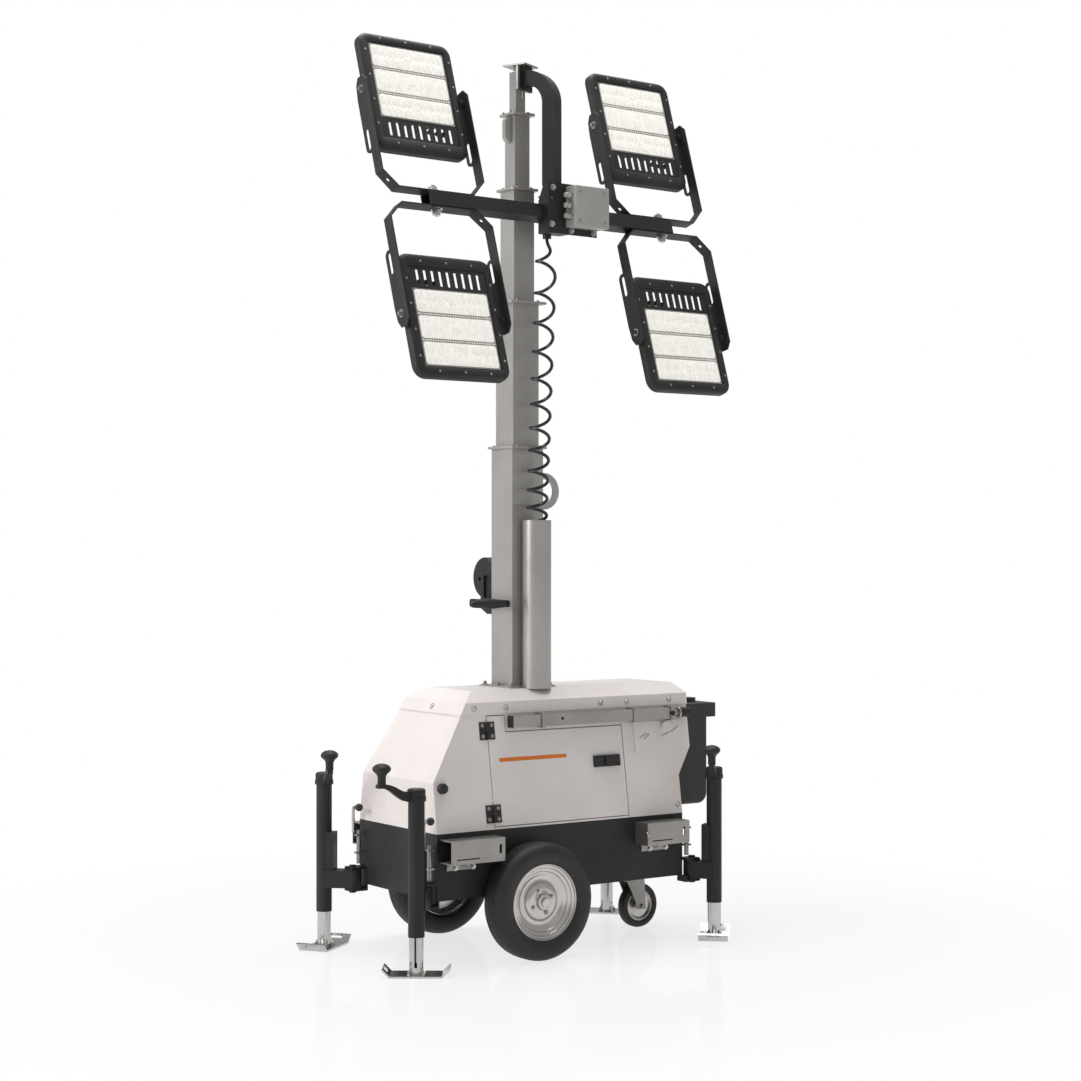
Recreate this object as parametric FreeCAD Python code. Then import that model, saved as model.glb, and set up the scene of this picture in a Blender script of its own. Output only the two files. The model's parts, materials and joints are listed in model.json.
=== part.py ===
import FreeCAD, Part
import os
from math import atan2, cos, degrees, hypot, pi, sin

# Mobile light tower: a canopied genset on two wheels and a castor, four screw jacks,
# and a five-section square mast that carries a crossbar with four floodlights.
# Millimetres. +X runs to the fuel tank's end, +Y to the far side, +Z is up.
# Every size below is measured from the mast's axis on the ground. The finished
# pieces are then moved so that the frame's origin is under the middle of the whole.
MAST_X = -14.007
MAST_Y = 0.0

# Chassis tray and canopy
TRAY_LEFT = -490.0
TRAY_RIGHT = 538.0
TRAY_HALF = 252.0
TRAY_BOTTOM = 220.0
TRAY_TOP = 441.0
TRAY_WALL = 6.0
LEAN = 0.149
NOSE_TOP = 606.0
EAVES_LEFT = -337.0
EAVES = 862.0
WING_RIGHT = 599.0
WING_LOW = 575.0
WING_HIGH = 672.0
PANEL = 20.0
RAISED = 2.5
RIB = 6.0
RIB_WIDTH = 24.0
# The raised plate on the rear of each long wall: corners from the mast and the ground
RAISED_PLATE = ((351.0, 768.0), (351.0, 668.0), (358.0, 660.0), (372.0, 658.0), (517.0, 698.0),
                (566.0, 715.0), (570.0, 768.0))
PUCK_X = 490.0
PUCK_Z = 746.0
PUCK_R = 20.0
PUCK_OUT = 20.0
PANEL_TOP = EAVES - 1.0
SEAM = 1.5
ROOF_TOP = EAVES + 35.0
ROOF_CHAMFER = 60.0
ROOF_END_CHAMFER = 20.0
ROOF_PLATE = 18.0
SKIRT_BOTTOM = 822.0
SKIRT = 2.6
SKIRT_GAP = 0.4

# Side doors
DOOR_LEFT = -262.0
DOOR_RIGHT = 303.0
DOOR_BOTTOM = 447.0
DOOR_TOP = 762.0
DOOR_TAB_RIGHT = -185.0
DOOR_TAB_TOP = 818.0
HINGE_LEVELS = (492.0, 767.0)
HINGE_HEIGHT = 60.0
HINGE_LEAF = 30.0
HINGE_PLATE = 3.0
HINGE_PIN_R = 5.0
HINGE_FIT = 0.4
HANDLE_X = 223.0
HANDLE_Z = 641.0
HANDLE_WIDTH = 110.0
HANDLE_HEIGHT = 40.0
BUFFER_X = -458.0
BUFFER_Z = 587.0
BUFFER_R = 15.5

# Pull-out handle bars
BAR_LEFT = -177.0
BAR_RIGHT = 520.0
BAR_LOW = 775.0
BAR_HIGH = 815.0
BAR_INNER = 207.5
BAR_DEPTH = 28.0
BAR_WALL = 3.0
BAR_FIT = 0.5
GRIP_R = 15.0
GRIP_END = 589.0
GUIDE_PLACES = (-60.0, 332.0, 497.0)
GUIDE_WIDTH = 14.0
GUIDE_PLATE = 4.0

# Fuel tank and engine
TANK_GAP = 0.3
TANK_HALF = 172.0
TANK_RIGHT = 720.0
TANK_BOTTOM = 456.0
TANK_CORNER = 38.0
NECK_BOTTOM = 769.0
NECK_TOP = 818.0
NECK_RIGHT = 762.0
CAP_X = 712.0
CAP_Y = -60.0
CAP_R = 32.0
CAP_HEIGHT = 14.0
ENGINE_BOX = (120.0, 480.0, -140.0, 140.0, 360.0)

# Wheels and castor
WHEEL_R = 198.0
WHEEL_X = -127.0
WHEEL_Y = 313.0
TYRE_WIDTH = 106.0
RIM_R = 126.0
RIM_WIDTH = 78.0
RIM_PLATE = 3.0
HUB_R = 28.0
HUB_FACE = 41.0
HUB_CAP = 7.0
SPINDLE_REACH = 30.0
TYRE_SHOULDER = 17.0
AXLE_R = 12.5
AXLE_FIT = 0.08
BEAM = 40.0
CASTOR_R = 80.0
CASTOR_X = 500.0
CASTOR_TRAIL = 30.0
CASTOR_TYRE = 38.0
CASTOR_RIM_R = 55.0
CASTOR_SIDES = 72
CASTOR_AXLE_R = 7.0
FORK_PLATE = 4.0
FORK_HALF = 26.0
FORK_CROWN = 172.0
SWIVEL_R = 36.0

# Screw jacks on their swing arms. Columns: name, pivot x, pivot y, jack x, jack y,
# bearings of the crank and of the foot plate in degrees from +X
JACKS = (
    ("left_near", -530.0, -232.0, -602.0, -305.0, 180.0, 145.0),
    ("left_far", -530.0, 232.0, -602.0, 305.0, -111.0, 35.0),
    ("right_near", 578.0, -255.0, 628.0, -320.0, -133.0, 48.0),
    ("right_far", 578.0, 255.0, 628.0, 320.0, 133.0, 132.0),
)
ARM_TUBE = 60.0
ARM_LOW = 206.0
ARM_HIGH = 272.0
ARM_PIN_R = 12.0
LUG_PLATE = 8.0
LUG_GAP = 0.5
JACK_R = 27.0
JACK_BORE_R = 24.0
JACK_LOW = 125.0
JACK_HIGH = 578.0
JACK_CAP = 27.0
JACK_CAP_R = 30.0
JACK_BAND = 14.0
LEG_R = 23.5
LEG_BORE_R = 19.5
KEYWAY = 9.0
KEYWAY_TURN = 8.0
LEG_TOP = 470.0
FOOT_FLAT = 170.0
FOOT_WIDTH = 104.0
FOOT_PLATE = 6.0
FOOT_TURN_UP = 26.0
FOOT_SLOT = 44.0
FOOT_FIN = 5.0
FOOT_FIN_REACH = 17.0
FOOT_FIN_HIGH = 22.0
CLAMP_LOW = 240.0
CLAMP_HIGH = 400.0
CRANK_REACH = 130.0
CRANK_HALF = 10.0
# The crank arm's upper and lower edges: shares of the reach, heights off the cap's top
CRANK_UPPER = ((0.0, -11.0), (0.24, -9.0), (0.43, -5.0), (0.62, 9.0), (0.76, 16.5), (0.88, 20.5),
               (1.0, 22.0), (1.13, 20.5))
CRANK_LOWER = ((1.13, 9.0), (0.95, 7.5), (0.87, 4.5), (0.76, -3.0), (0.62, -17.0), (0.48, -30.0),
               (0.37, -37.5), (0.2, -43.0), (0.0, -43.0))
# The knob's outline: radii, heights off the arm
KNOB = ((14.0, 0.0), (13.4, 14.0), (14.2, 27.0), (18.5, 34.0), (25.5, 40.0), (29.5, 45.0), (30.5, 50.0),
        (28.5, 55.5), (23.0, 61.0), (15.0, 65.0), (7.0, 66.8), (0.0, 67.2))

# Zinc channels on the tray's sides. Columns: left end, right end
CHANNELS = ((-478.0, -268.0), (328.0, 513.0))
CHANNEL_LOW = 346.0
CHANNEL_HIGH = 424.0
CHANNEL_OUT = 72.0
CHANNEL_PLATE = 4.0
CHANNEL_TAB = 28.0
ROD_R = 8.0
ROD_LOW = 290.0
ROD_HIGH = 405.0

# Mast sections. Columns: outer width, wall, bottom, top of the collar, collar half-size
SECTIONS = (
    (130.0, 5.0, 226.0, 1736.0, 78.0),
    (108.0, 5.0, 805.5, 2241.5, 77.0),
    (85.0, 5.0, 1202.0, 2638.0, 56.0),
    (62.0, 5.0, 1466.0, 2902.0, 48.0),
    (40.0, 4.0, 1634.0, 3054.0, 0.0),
)
COLLAR = 8.0
SLIDE_FIT = 0.4
GUIDE_RING = 24.0
LUG_LOW = 2799.0
LUG_HIGH = 2890.0
LUG_OUT = 26.0
LUG_THICK = 20.0
LUG_CORNER = 22.0
ROOF_FLANGE = 96.0
ROOF_FLANGE_PLATE = 5.0
EYE_OUTER_R = 65.0
EYE_INNER_R = 43.0
EYE_Z = 1582.0
EYE_STAND_OFF = 45.0
EYE_PLATE = 12.0

# Cable store tube and curly cable
STORE_Y = -120.0
STORE_R = 50.0
STORE_WALL = 3.0
STORE_TOP = 1478.0
STORE_STRIP = 24.0
COIL_R = 40.5
COIL_DEPTH = 38.0

# Winch
WINCH_LEFT = -43.0
WINCH_RIGHT = 5.0
WINCH_Y = 148.0
WINCH_Z = 1276.0
WINCH_R = 72.0
WINCH_STEP = 9.0
WINCH_FOOT = 1147.0
DRUM_R = 46.0
DRUM_RIGHT = 52.0
CRANK_SHAFT_Y = 128.0
CRANK_SHAFT_Z = 1190.0
WINCH_ARM_X = -103.0
WINCH_GRIP_Y = -90.0
WINCH_GRIP_END = -253.0
WINCH_GRIP_R = 17.0

# Head: gooseneck, bracket and crossbar. The crossbar and lamps lean back.
HEAD_TURN = 3.82
HEAD_LEAN = 16.85
BAR_X = 53.0
BAR_Y = -128.8
BAR_Z = 2539.4
CROSS_TUBE = 50.0
CROSS_WALL = 4.0
CROSS_HALF = 540.0
LAMP_OUT = 503.0
NECK_TUBE = 50.0
NECK_X = 51.5
NECK_BEND = 95.0
NECK_AXIS_TOP = SECTIONS[-1][3] - 30.0
NECK_FOOT = 2640.0
FLANGE_THICK = 8.0
FLANGE_WIDTH = 88.0
FLANGE_HEIGHT = 84.0
TOP_PLATE_Z = SECTIONS[-1][3]
TOP_PLATE = 6.0
BRACKET_LEFT = -3.0
BRACKET_RIGHT = 153.0
BRACKET_BOTTOM = 2469.0
BRACKET_TOP = 2644.0
BRACKET_PLATE = 6.0
BRACKET_FRONT = -178.0
BRACKET_BACK = -122.0
BRACKET_WING = 215.0
BRACKET_STEP = 2600.0
CHEEK_TOP_BACK = -152.0
CHEEK_SHOULDER = 2583.0
BRACKET_HOLE_R = 7.5
BRACKET_HOLE = (16.0, 2594.0)
BOX_LEFT = 75.0
BOX_RIGHT = 226.0
BOX_BOTTOM = 2493.0
BOX_TOP = 2635.0
BOX_DEPTH = 56.0
BOX_EDGE = 4.0
BOX_GLANDS = (34.0, 70.0, 106.0)
GLAND_R = 11.0
GLAND_REACH = 26.0
GLAND_X = 30.0
GLAND_DROP = 14.0

# Floodlights. Columns: name, side along the crossbar, up or down, centre distance
LAMPS = (
    ("upper_left", -1, 1, 387.0),
    ("lower_left", -1, -1, 412.0),
    ("upper_right", 1, 1, 387.0),
    ("lower_right", 1, -1, 412.0),
)
LAMP_WIDTH = 382.0
LAMP_HEIGHT = 430.0
LAMP_FRONT = 2.0
LAMP_DEPTH = 58.0
LAMP_CORNER = 42.0
LENS_WIDTH = 309.0
LENS_HEIGHT = 274.0
LENS_SET_BACK = 6.0
LENS_PLATE = 6.0
LENS_SHIFT = 42.0
SLOT_COUNT = 9
SLOT_WIDTH = 10.0
SLOT_LENGTH = 56.0
SLOT_PITCH = 31.0
SLOT_SHIFT = -132.0
FIN_COUNT = 9
FIN_DEPTH = 26.0
FIN_PLATE = 4.0
PIVOT_SET_BACK = 12.0
YOKE_HALF = 210.0
YOKE_PLATE = 5.0
YOKE_BAR = 46.0
YOKE_CHAMFER = 56.0
YOKE_GAP = 0.4
YOKE_EAR = 60.0
YOKE_SLOT = 5.0
YOKE_SLOT_DROP = 190.0
YOKE_SLOT_LONG = 62.0
YOKE_BOLT_R = 8.0
YOKE_NUT_R = 14.0
YOKE_NUT = 14.0
PIVOT_R = 14.0
FRAME_EDGE = 5.0
DRIVER = (150.0, 110.0, 16.0)

# Longer than the machine, for cuts that pass right through it
PAST = 1000.0

V = FreeCAD.Vector
AXES = {"x": V(1, 0, 0), "y": V(0, 1, 0), "z": V(0, 0, 1)}


def box(x0, x1, y0, y1, z0, z1):
    return Part.makeBox(x1 - x0, y1 - y0, z1 - z0, V(x0, y0, z0))


def rod(radius, start, end):
    run = V(*end) - V(*start)
    return Part.makeCylinder(radius, run.Length, V(*start), run)


def fuse(pieces):
    return pieces[0].multiFuse(pieces[1:]).removeSplitter() if len(pieces) > 1 else pieces[0]


def prism(points, run):
    corners = [V(*p) for p in points]
    return Part.Face(Part.makePolygon(corners + corners[:1])).extrude(V(*run))


def square_tube(width, wall, z0, z1):
    outer, inner = width / 2, width / 2 - wall
    return box(-outer, outer, -outer, outer, z0, z1).cut(
        box(-inner, inner, -inner, inner, z0 - 1, z1 + 1))


def revolve_y(profile):
    """A ring about the Y axis from (y, radius) corners."""
    corners = [V(r, y, 0) for y, r in profile]
    face = Part.Face(Part.makePolygon(corners + corners[:1]))
    return face.revolve(V(0, 0, 0), AXES["y"], 360)


def rounded_slab(width, height, corner, y0, y1):
    """An upright slab in X and Z with round corners, from y0 to y1."""
    slab = box(-width / 2, width / 2, y0, y1, -height / 2, height / 2)
    edges = [e for e in slab.Edges if abs(e.tangentAt(e.FirstParameter).y) > 0.99]
    return slab.makeFillet(corner, edges)


def mirrored(shape):
    return shape.mirror(V(0, 0, 0), AXES["y"])


def half_width(z):
    return TRAY_HALF - LEAN * (z - TRAY_TOP)


def nose_x(z):
    """The canopy's sloping front above its upright foot."""
    return TRAY_LEFT + (EAVES_LEFT - TRAY_LEFT) * (z - NOSE_TOP) / (EAVES - NOSE_TOP)


def canopy_solid(inset, low, high):
    slope = inset * hypot(EAVES_LEFT - TRAY_LEFT, EAVES - NOSE_TOP) / (EAVES - NOSE_TOP)
    side = [(TRAY_LEFT + inset, low), (TRAY_LEFT + inset, NOSE_TOP), (nose_x(high) + slope, high),
            (WING_RIGHT - inset, high), (WING_RIGHT - inset, WING_HIGH),
            (TRAY_RIGHT - inset, WING_LOW), (TRAY_RIGHT - inset, low)]
    wide = TRAY_HALF + 50
    along = prism([(x, -wide, z) for x, z in side], (0, 2 * wide, 0))
    lower, upper = half_width(low) - inset, half_width(high) - inset
    across = prism([(-PAST, -lower, low), (-PAST, lower, low), (-PAST, upper, high),
                    (-PAST, -upper, high)], (2 * PAST, 0, 0))
    return along.common(across)


def leaning_slab(z0, z1, depth_out, depth_in):
    """A long slab along the near wall's lean, between two depths off its face."""
    out0, out1 = -half_width(z0) - depth_out, -half_width(z1) - depth_out
    in0, in1 = -half_width(z0) + depth_in, -half_width(z1) + depth_in
    return prism([(-PAST, out0, z0), (-PAST, out1, z1), (-PAST, in1, z1), (-PAST, in0, z0)],
                 (2 * PAST, 0, 0))


def raised_plate(corners, depth):
    """A plate of that outline on the near wall, standing out by a depth."""
    outline = prism([(x, -PAST, z) for x, z in corners], (0, PAST, 0))
    return outline.common(leaning_slab(TRAY_TOP, PANEL_TOP, depth, 1.0))


def door_panel(gap, depth_out, depth_in):
    """The near door's outline cut from a leaning slab, gap inside the doorway."""
    left, right = DOOR_LEFT + gap, DOOR_RIGHT - gap
    low, top = DOOR_BOTTOM + gap, DOOR_TOP - gap
    tab_right, tab_top = DOOR_TAB_RIGHT - gap, DOOR_TAB_TOP - gap
    outline = prism([(left, -PAST, low), (right, -PAST, low), (right, -PAST, top),
                     (tab_right, -PAST, top), (tab_right, -PAST, tab_top), (left, -PAST, tab_top)],
                    (0, PAST, 0))
    return outline.common(leaning_slab(DOOR_BOTTOM - 20, DOOR_TAB_TOP + 20, depth_out, depth_in))


def canopy_panels():
    shell = canopy_solid(0, TRAY_TOP, PANEL_TOP).cut(
        canopy_solid(PANEL, TRAY_TOP - 1, PANEL_TOP + 1))
    inner = half_width(WING_LOW) - PANEL
    upper = half_width(PANEL_TOP + 1) - PANEL
    tank_bay = prism([(TRAY_RIGHT, -inner, WING_LOW), (TRAY_RIGHT, inner, WING_LOW),
                      (TRAY_RIGHT, upper, PANEL_TOP + 1), (TRAY_RIGHT, -upper, PANEL_TOP + 1)],
                     (WING_RIGHT - TRAY_RIGHT + 1, 0, 0))
    end_wall = canopy_solid(0, TRAY_TOP, PANEL_TOP).common(
        box(TRAY_RIGHT - PANEL, TRAY_RIGHT, -TRAY_HALF, TRAY_HALF, TRAY_TOP, PANEL_TOP))
    shell = fuse([shell.cut(tank_bay), end_wall])
    doorway = door_panel(0, 30, 2 * PANEL)
    shell = shell.cut(doorway).cut(mirrored(doorway))
    hood = shell.common(box(-PAST, DOOR_RIGHT - SEAM / 2, -PAST, PAST, 0, PAST))
    rear = shell.common(box(DOOR_RIGHT + SEAM / 2, PAST, -PAST, PAST, 0, PAST))
    buffers = [rod(BUFFER_R, (BUFFER_X, s * (half_width(BUFFER_Z) - 4), BUFFER_Z),
                   (BUFFER_X, s * (half_width(BUFFER_Z) + 14), BUFFER_Z)) for s in (-1, 1)]
    for side in (-1, 1):
        plate = raised_plate(RAISED_PLATE, RAISED)
        left, low = RAISED_PLATE[1]
        top = RAISED_PLATE[0][1] - 1
        rib = raised_plate(((left, top), (left, low - 8), (left + RIB_WIDTH, low - 8),
                            (left + RIB_WIDTH, top)), RIB)
        base, normal, up = wall_point(PUCK_X, PUCK_Z, 0.0)
        puck = Part.makeCylinder(PUCK_R, PUCK_OUT, base - normal, normal)
        outer = [e for e in puck.Edges if e.Closed and e.CenterOfMass.y < base.y - PUCK_OUT / 2]
        added = fuse([plate, rib, puck.makeFillet(3, outer)])
        rear = fuse([rear, added if side < 0 else mirrored(added)])
    return fuse([hood] + buffers), rear


def roof_solid(inset, low, top, eaves, left_shift):
    chamfer = ROOF_CHAMFER
    side = [(nose_x(low) + left_shift, low), (nose_x(eaves) + left_shift, eaves),
            (nose_x(eaves) + left_shift + chamfer, top), (WING_RIGHT - inset - ROOF_END_CHAMFER, top),
            (WING_RIGHT - inset, eaves), (WING_RIGHT - inset, low)]
    along = prism([(x, -PAST, z) for x, z in side], (0, 2 * PAST, 0))
    lower, upper = half_width(low) - inset, half_width(eaves) - inset
    crown = upper - chamfer
    across = prism([(-PAST, -lower, low), (-PAST, lower, low), (-PAST, upper, eaves),
                    (-PAST, crown, top), (-PAST, -crown, top), (-PAST, -upper, eaves)],
                   (2 * PAST, 0, 0))
    return along.common(across)


def roof_cover():
    proud = SKIRT + SKIRT_GAP
    outer = roof_solid(-proud, SKIRT_BOTTOM, ROOF_TOP, EAVES, -proud)
    pocket = roof_solid(-SKIRT_GAP, SKIRT_BOTTOM - 1, ROOF_TOP - ROOF_PLATE, EAVES, -SKIRT_GAP)
    hole = SECTIONS[0][0] / 2 + SLIDE_FIT
    return outer.cut(pocket).cut(box(-hole, hole, -hole, hole, SKIRT_BOTTOM, ROOF_TOP + 1))


def chassis_frame():
    tray = box(TRAY_LEFT, TRAY_RIGHT, -TRAY_HALF, TRAY_HALF, TRAY_BOTTOM, TRAY_TOP).cut(
        box(TRAY_LEFT + TRAY_WALL, TRAY_RIGHT - TRAY_WALL, -TRAY_HALF + TRAY_WALL,
            TRAY_HALF - TRAY_WALL, TRAY_BOTTOM + TRAY_WALL, TRAY_TOP + 1))
    pieces = [tray]
    for name, px, py, jx, jy, bearing, foot_bearing in JACKS:
        face = TRAY_LEFT if px < 0 else TRAY_RIGHT
        tip = px + (ARM_TUBE / 2 if px > 0 else -ARM_TUBE / 2) * 0.6
        x0, x1 = sorted((face, tip))
        half = ARM_TUBE * 0.42
        for z in (ARM_LOW - LUG_GAP - LUG_PLATE, ARM_HIGH + LUG_GAP):
            root = box(x0, x1, py - half, py + half, z, z + LUG_PLATE)
            pieces.append(root)
        foot = box(min(face, face + (TRAY_WALL if px < 0 else -TRAY_WALL)),
                   max(face, face + (TRAY_WALL if px < 0 else -TRAY_WALL)), py - half, py + half,
                   ARM_LOW - LUG_GAP - LUG_PLATE, TRAY_BOTTOM + 1)
        pieces.append(foot)
        pieces.append(rod(ARM_PIN_R, (px, py, ARM_LOW - LUG_GAP - LUG_PLATE - 6),
                          (px, py, ARM_HIGH + LUG_GAP + LUG_PLATE + 6)))
    return fuse(pieces)


def axle_beam():
    half = TRAY_HALF - 6
    spindle = WHEEL_Y + SPINDLE_REACH
    beam = box(WHEEL_X - BEAM / 2, WHEEL_X + BEAM / 2, -half, half, WHEEL_R - BEAM / 2,
               TRAY_BOTTOM)
    return fuse([beam, rod(AXLE_R, (WHEEL_X, -spindle, WHEEL_R), (WHEEL_X, spindle, WHEEL_R))])


def tyre():
    half, crown, bead = TYRE_WIDTH / 2, WHEEL_R, RIM_R + 0.3
    widest, shoulder = bead + (crown - bead) * 0.54, half - TYRE_SHOULDER
    return revolve_y([(-RIM_WIDTH / 2, bead), (-half, widest), (-shoulder, crown), (shoulder, crown),
                      (half, widest), (RIM_WIDTH / 2, bead)])


def rim(side):
    """A pressed steel wheel: stepped barrel, dished disc and a closed hub cap looking outboard."""
    lip, plate = RIM_WIDTH / 2, RIM_PLATE
    bore = AXLE_R + AXLE_FIT
    outboard = [(lip, RIM_R), (lip + 2, RIM_R - 4), (26, RIM_R - 8), (23, RIM_R - 16), (15, RIM_R - 18),
                (13, 75), (2, 66), (0, 40), (14, 31), (HUB_FACE - 5, 24), (HUB_FACE, 18), (HUB_FACE, 0)]
    cap_inside = [(HUB_FACE - HUB_CAP, 0), (HUB_FACE - HUB_CAP, bore)]
    inboard = [(-32, bore), (-32, HUB_R), (-4, 40 - plate), (-2, 68), (10, 78), (11, RIM_R - 18),
               (-23, RIM_R - 15), (-lip, RIM_R - 5), (-lip, RIM_R)]
    wheel = revolve_y(outboard + cap_inside + inboard)
    return wheel if side > 0 else mirrored(wheel)


def castor_fork():
    axle_x, axle_z = CASTOR_X + CASTOR_TRAIL, CASTOR_R
    plate = box(CASTOR_X - 50, CASTOR_X + 50, -42, 42, TRAY_BOTTOM - 6, TRAY_BOTTOM)
    head = rod(SWIVEL_R, (CASTOR_X, 0, FORK_CROWN + FORK_PLATE), (CASTOR_X, 0, TRAY_BOTTOM - 6.5))
    crown = box(CASTOR_X - 36, CASTOR_X + 40, -FORK_HALF - FORK_PLATE, FORK_HALF + FORK_PLATE,
                FORK_CROWN, FORK_CROWN + FORK_PLATE)
    cheeks = []
    for side in (-1, 1):
        y = FORK_HALF if side > 0 else -FORK_HALF - FORK_PLATE
        outline = [(CASTOR_X - 36, y, FORK_CROWN), (axle_x - 16, y, axle_z - 12),
                   (axle_x + 16, y, axle_z - 12), (CASTOR_X + 40, y, FORK_CROWN)]
        cheeks.append(prism(outline, (0, FORK_PLATE, 0)))
    axle = rod(CASTOR_AXLE_R, (axle_x, -FORK_HALF - FORK_PLATE - 8, axle_z),
               (axle_x, FORK_HALF + FORK_PLATE + 8, axle_z))
    return fuse([head, crown, axle] + cheeks), plate


def ring_corners(radius, y):
    turns = [2 * pi * i / CASTOR_SIDES for i in range(CASTOR_SIDES)]
    return [(radius * cos(a), y, radius * sin(a)) for a in turns]


def castor_wheel():
    half = CASTOR_TYRE / 2
    band = prism(ring_corners(CASTOR_R, 3 - half), (0, 2 * half - 6, 0)).cut(
        prism(ring_corners(CASTOR_RIM_R + 0.3, -half), (0, 2 * half, 0)))
    bore = CASTOR_AXLE_R + AXLE_FIT
    disc = revolve_y([(-half + 4, CASTOR_RIM_R), (-half + 4, CASTOR_RIM_R - 8), (-5, CASTOR_RIM_R - 13),
                      (-5, 18), (-FORK_HALF + 0.5, 15), (-FORK_HALF + 0.5, bore),
                      (FORK_HALF - 0.5, bore), (FORK_HALF - 0.5, 15), (5, 18),
                      (5, CASTOR_RIM_R - 13), (half - 4, CASTOR_RIM_R - 8), (half - 4, CASTOR_RIM_R)])
    place = V(CASTOR_X + CASTOR_TRAIL, 0, CASTOR_R)
    return band.translated(place), disc.translated(place)


def jack_arm(px, py, jx, jy, bearing):
    reach, turn = hypot(jx - px, jy - py), degrees(atan2(jy - py, jx - px))
    middle = (ARM_LOW + ARM_HIGH) / 2
    half = ARM_TUBE / 2
    bar = box(0, reach, -half, half, middle - half, middle + half)
    hub = rod(half, (0, 0, ARM_LOW), (0, 0, ARM_HIGH))
    clamp = box(reach - JACK_R - 14, reach, -24, 24, CLAMP_LOW, CLAMP_HIGH)
    column = rod(JACK_R, (reach, 0, JACK_LOW), (reach, 0, JACK_HIGH))
    arm = fuse([bar, hub, clamp, column])
    arm = arm.cut(rod(JACK_BORE_R, (reach, 0, JACK_LOW - 1), (reach, 0, JACK_HIGH - 4)))
    arm = arm.cut(rod(ARM_PIN_R + AXLE_FIT, (0, 0, ARM_LOW - 1), (0, 0, ARM_HIGH + 1)))
    arm = arm.rotated(V(0, 0, 0), AXES["z"], turn).translated(V(px, py, 0))
    return fuse([arm, crank(jx, jy, bearing)])


def crank(jx, jy, bearing):
    """The jack's cap with its cast crank arm and mushroom knob."""
    top = JACK_HIGH + JACK_CAP
    cap = rod(JACK_CAP_R, (0, 0, JACK_HIGH - 4), (0, 0, top))
    upper = [e for e in cap.Edges if e.Closed and e.CenterOfMass.z > top - 1]
    cap = cap.makeFillet(8, upper)
    band = rod(JACK_CAP_R + 2, (0, 0, JACK_HIGH - JACK_BAND), (0, 0, JACK_HIGH))
    high = [(s * CRANK_REACH, -CRANK_HALF, top + z) for s, z in CRANK_UPPER]
    low = [(s * CRANK_REACH, -CRANK_HALF, top + z) for s, z in CRANK_LOWER]
    arm = prism(high + low, (0, 2 * CRANK_HALF, 0))
    base = top + CRANK_UPPER[-2][1] - 1
    section = [V(r, 0, base + z) for r, z in KNOB] + [V(0, 0, base)]
    knob = Part.Face(Part.makePolygon(section + section[:1])).revolve(V(0, 0, 0), AXES["z"], 360)
    knob.translate(V(CRANK_REACH, 0, 0))
    whole = fuse([cap, band, arm, knob])
    whole = whole.cut(rod(JACK_BORE_R, (0, 0, JACK_LOW), (0, 0, JACK_HIGH - 4)))
    return whole.rotated(V(0, 0, 0), AXES["z"], bearing).translated(V(jx, jy, 0))


def jack_leg(px, py, jx, jy, foot_bearing):
    """The inner tube with its keyway, welded to a foot plate with turned-up ends and four fins."""
    tube = rod(LEG_R, (0, 0, FOOT_PLATE), (0, 0, LEG_TOP)).cut(
        rod(LEG_BORE_R, (0, 0, FOOT_PLATE), (0, 0, LEG_TOP + 1)))
    slot = box(0, LEG_R + 1, -KEYWAY / 2, KEYWAY / 2, FOOT_PLATE + FOOT_FIN_HIGH, LEG_TOP - 20)
    outward = degrees(atan2(jy - py, jx - px)) + KEYWAY_TURN
    tube = tube.cut(slot.rotated(V(0, 0, 0), AXES["z"], outward))
    flat, width, turn = FOOT_FLAT / 2, FOOT_WIDTH / 2, FOOT_TURN_UP
    length = flat + turn
    side = [(-flat, 0), (flat, 0), (length, turn), (length - 4, turn + 4), (flat - 2, FOOT_PLATE),
            (-flat + 2, FOOT_PLATE), (-length + 4, turn + 4), (-length, turn)]
    foot = prism([(x, -width, z) for x, z in side], (0, 2 * width, 0))
    for end in (-1, 1):
        x0, x1 = sorted((end * (flat + turn * 0.3), end * (flat + turn * 0.8)))
        foot = foot.cut(box(x0, x1, -FOOT_SLOT / 2, FOOT_SLOT / 2, -1, turn + 10))
    inner, outer, half = LEG_BORE_R + 2, LEG_R + FOOT_FIN_REACH, FOOT_FIN / 2
    fins = []
    for quarter in range(4):
        fin = prism([(inner, -half, FOOT_PLATE - 1), (outer, -half, FOOT_PLATE - 1),
                     (LEG_R + 2, -half, FOOT_FIN_HIGH + FOOT_PLATE), (inner, -half, FOOT_FIN_HIGH + FOOT_PLATE)],
                    (0, 2 * half, 0))
        fins.append(fin.rotated(V(0, 0, 0), AXES["z"], 45 + 90 * quarter))
    foot = fuse([foot] + fins).rotated(V(0, 0, 0), AXES["z"], foot_bearing)
    return fuse([tube, foot]).translated(V(jx, jy, 0))


def hinge_offset():
    """How far the hinge pin's axis stands out of the leaning wall, square to it."""
    return HINGE_PIN_R + 1.0


def wall_point(x, z, out):
    """A point that stands out of the near wall, and the wall's normal and up direction."""
    length = hypot(1, LEAN)
    normal = V(0, -1 / length, LEAN / length)
    up = V(0, LEAN / length, 1 / length)
    return V(x, -half_width(z), z) + normal * out, normal, up


def wall_plate(x0, x1, z, height, out0, out1):
    """A plate on the near wall: centred at height z, between two depths off its face."""
    base, normal, up = wall_point(x0, z, out0)
    low = base - up * (height / 2)
    corners = [low, low + up * height, low + up * height + V(x1 - x0, 0, 0), low + V(x1 - x0, 0, 0)]
    return prism([tuple(c) for c in corners], tuple(normal * (out1 - out0)))


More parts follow.
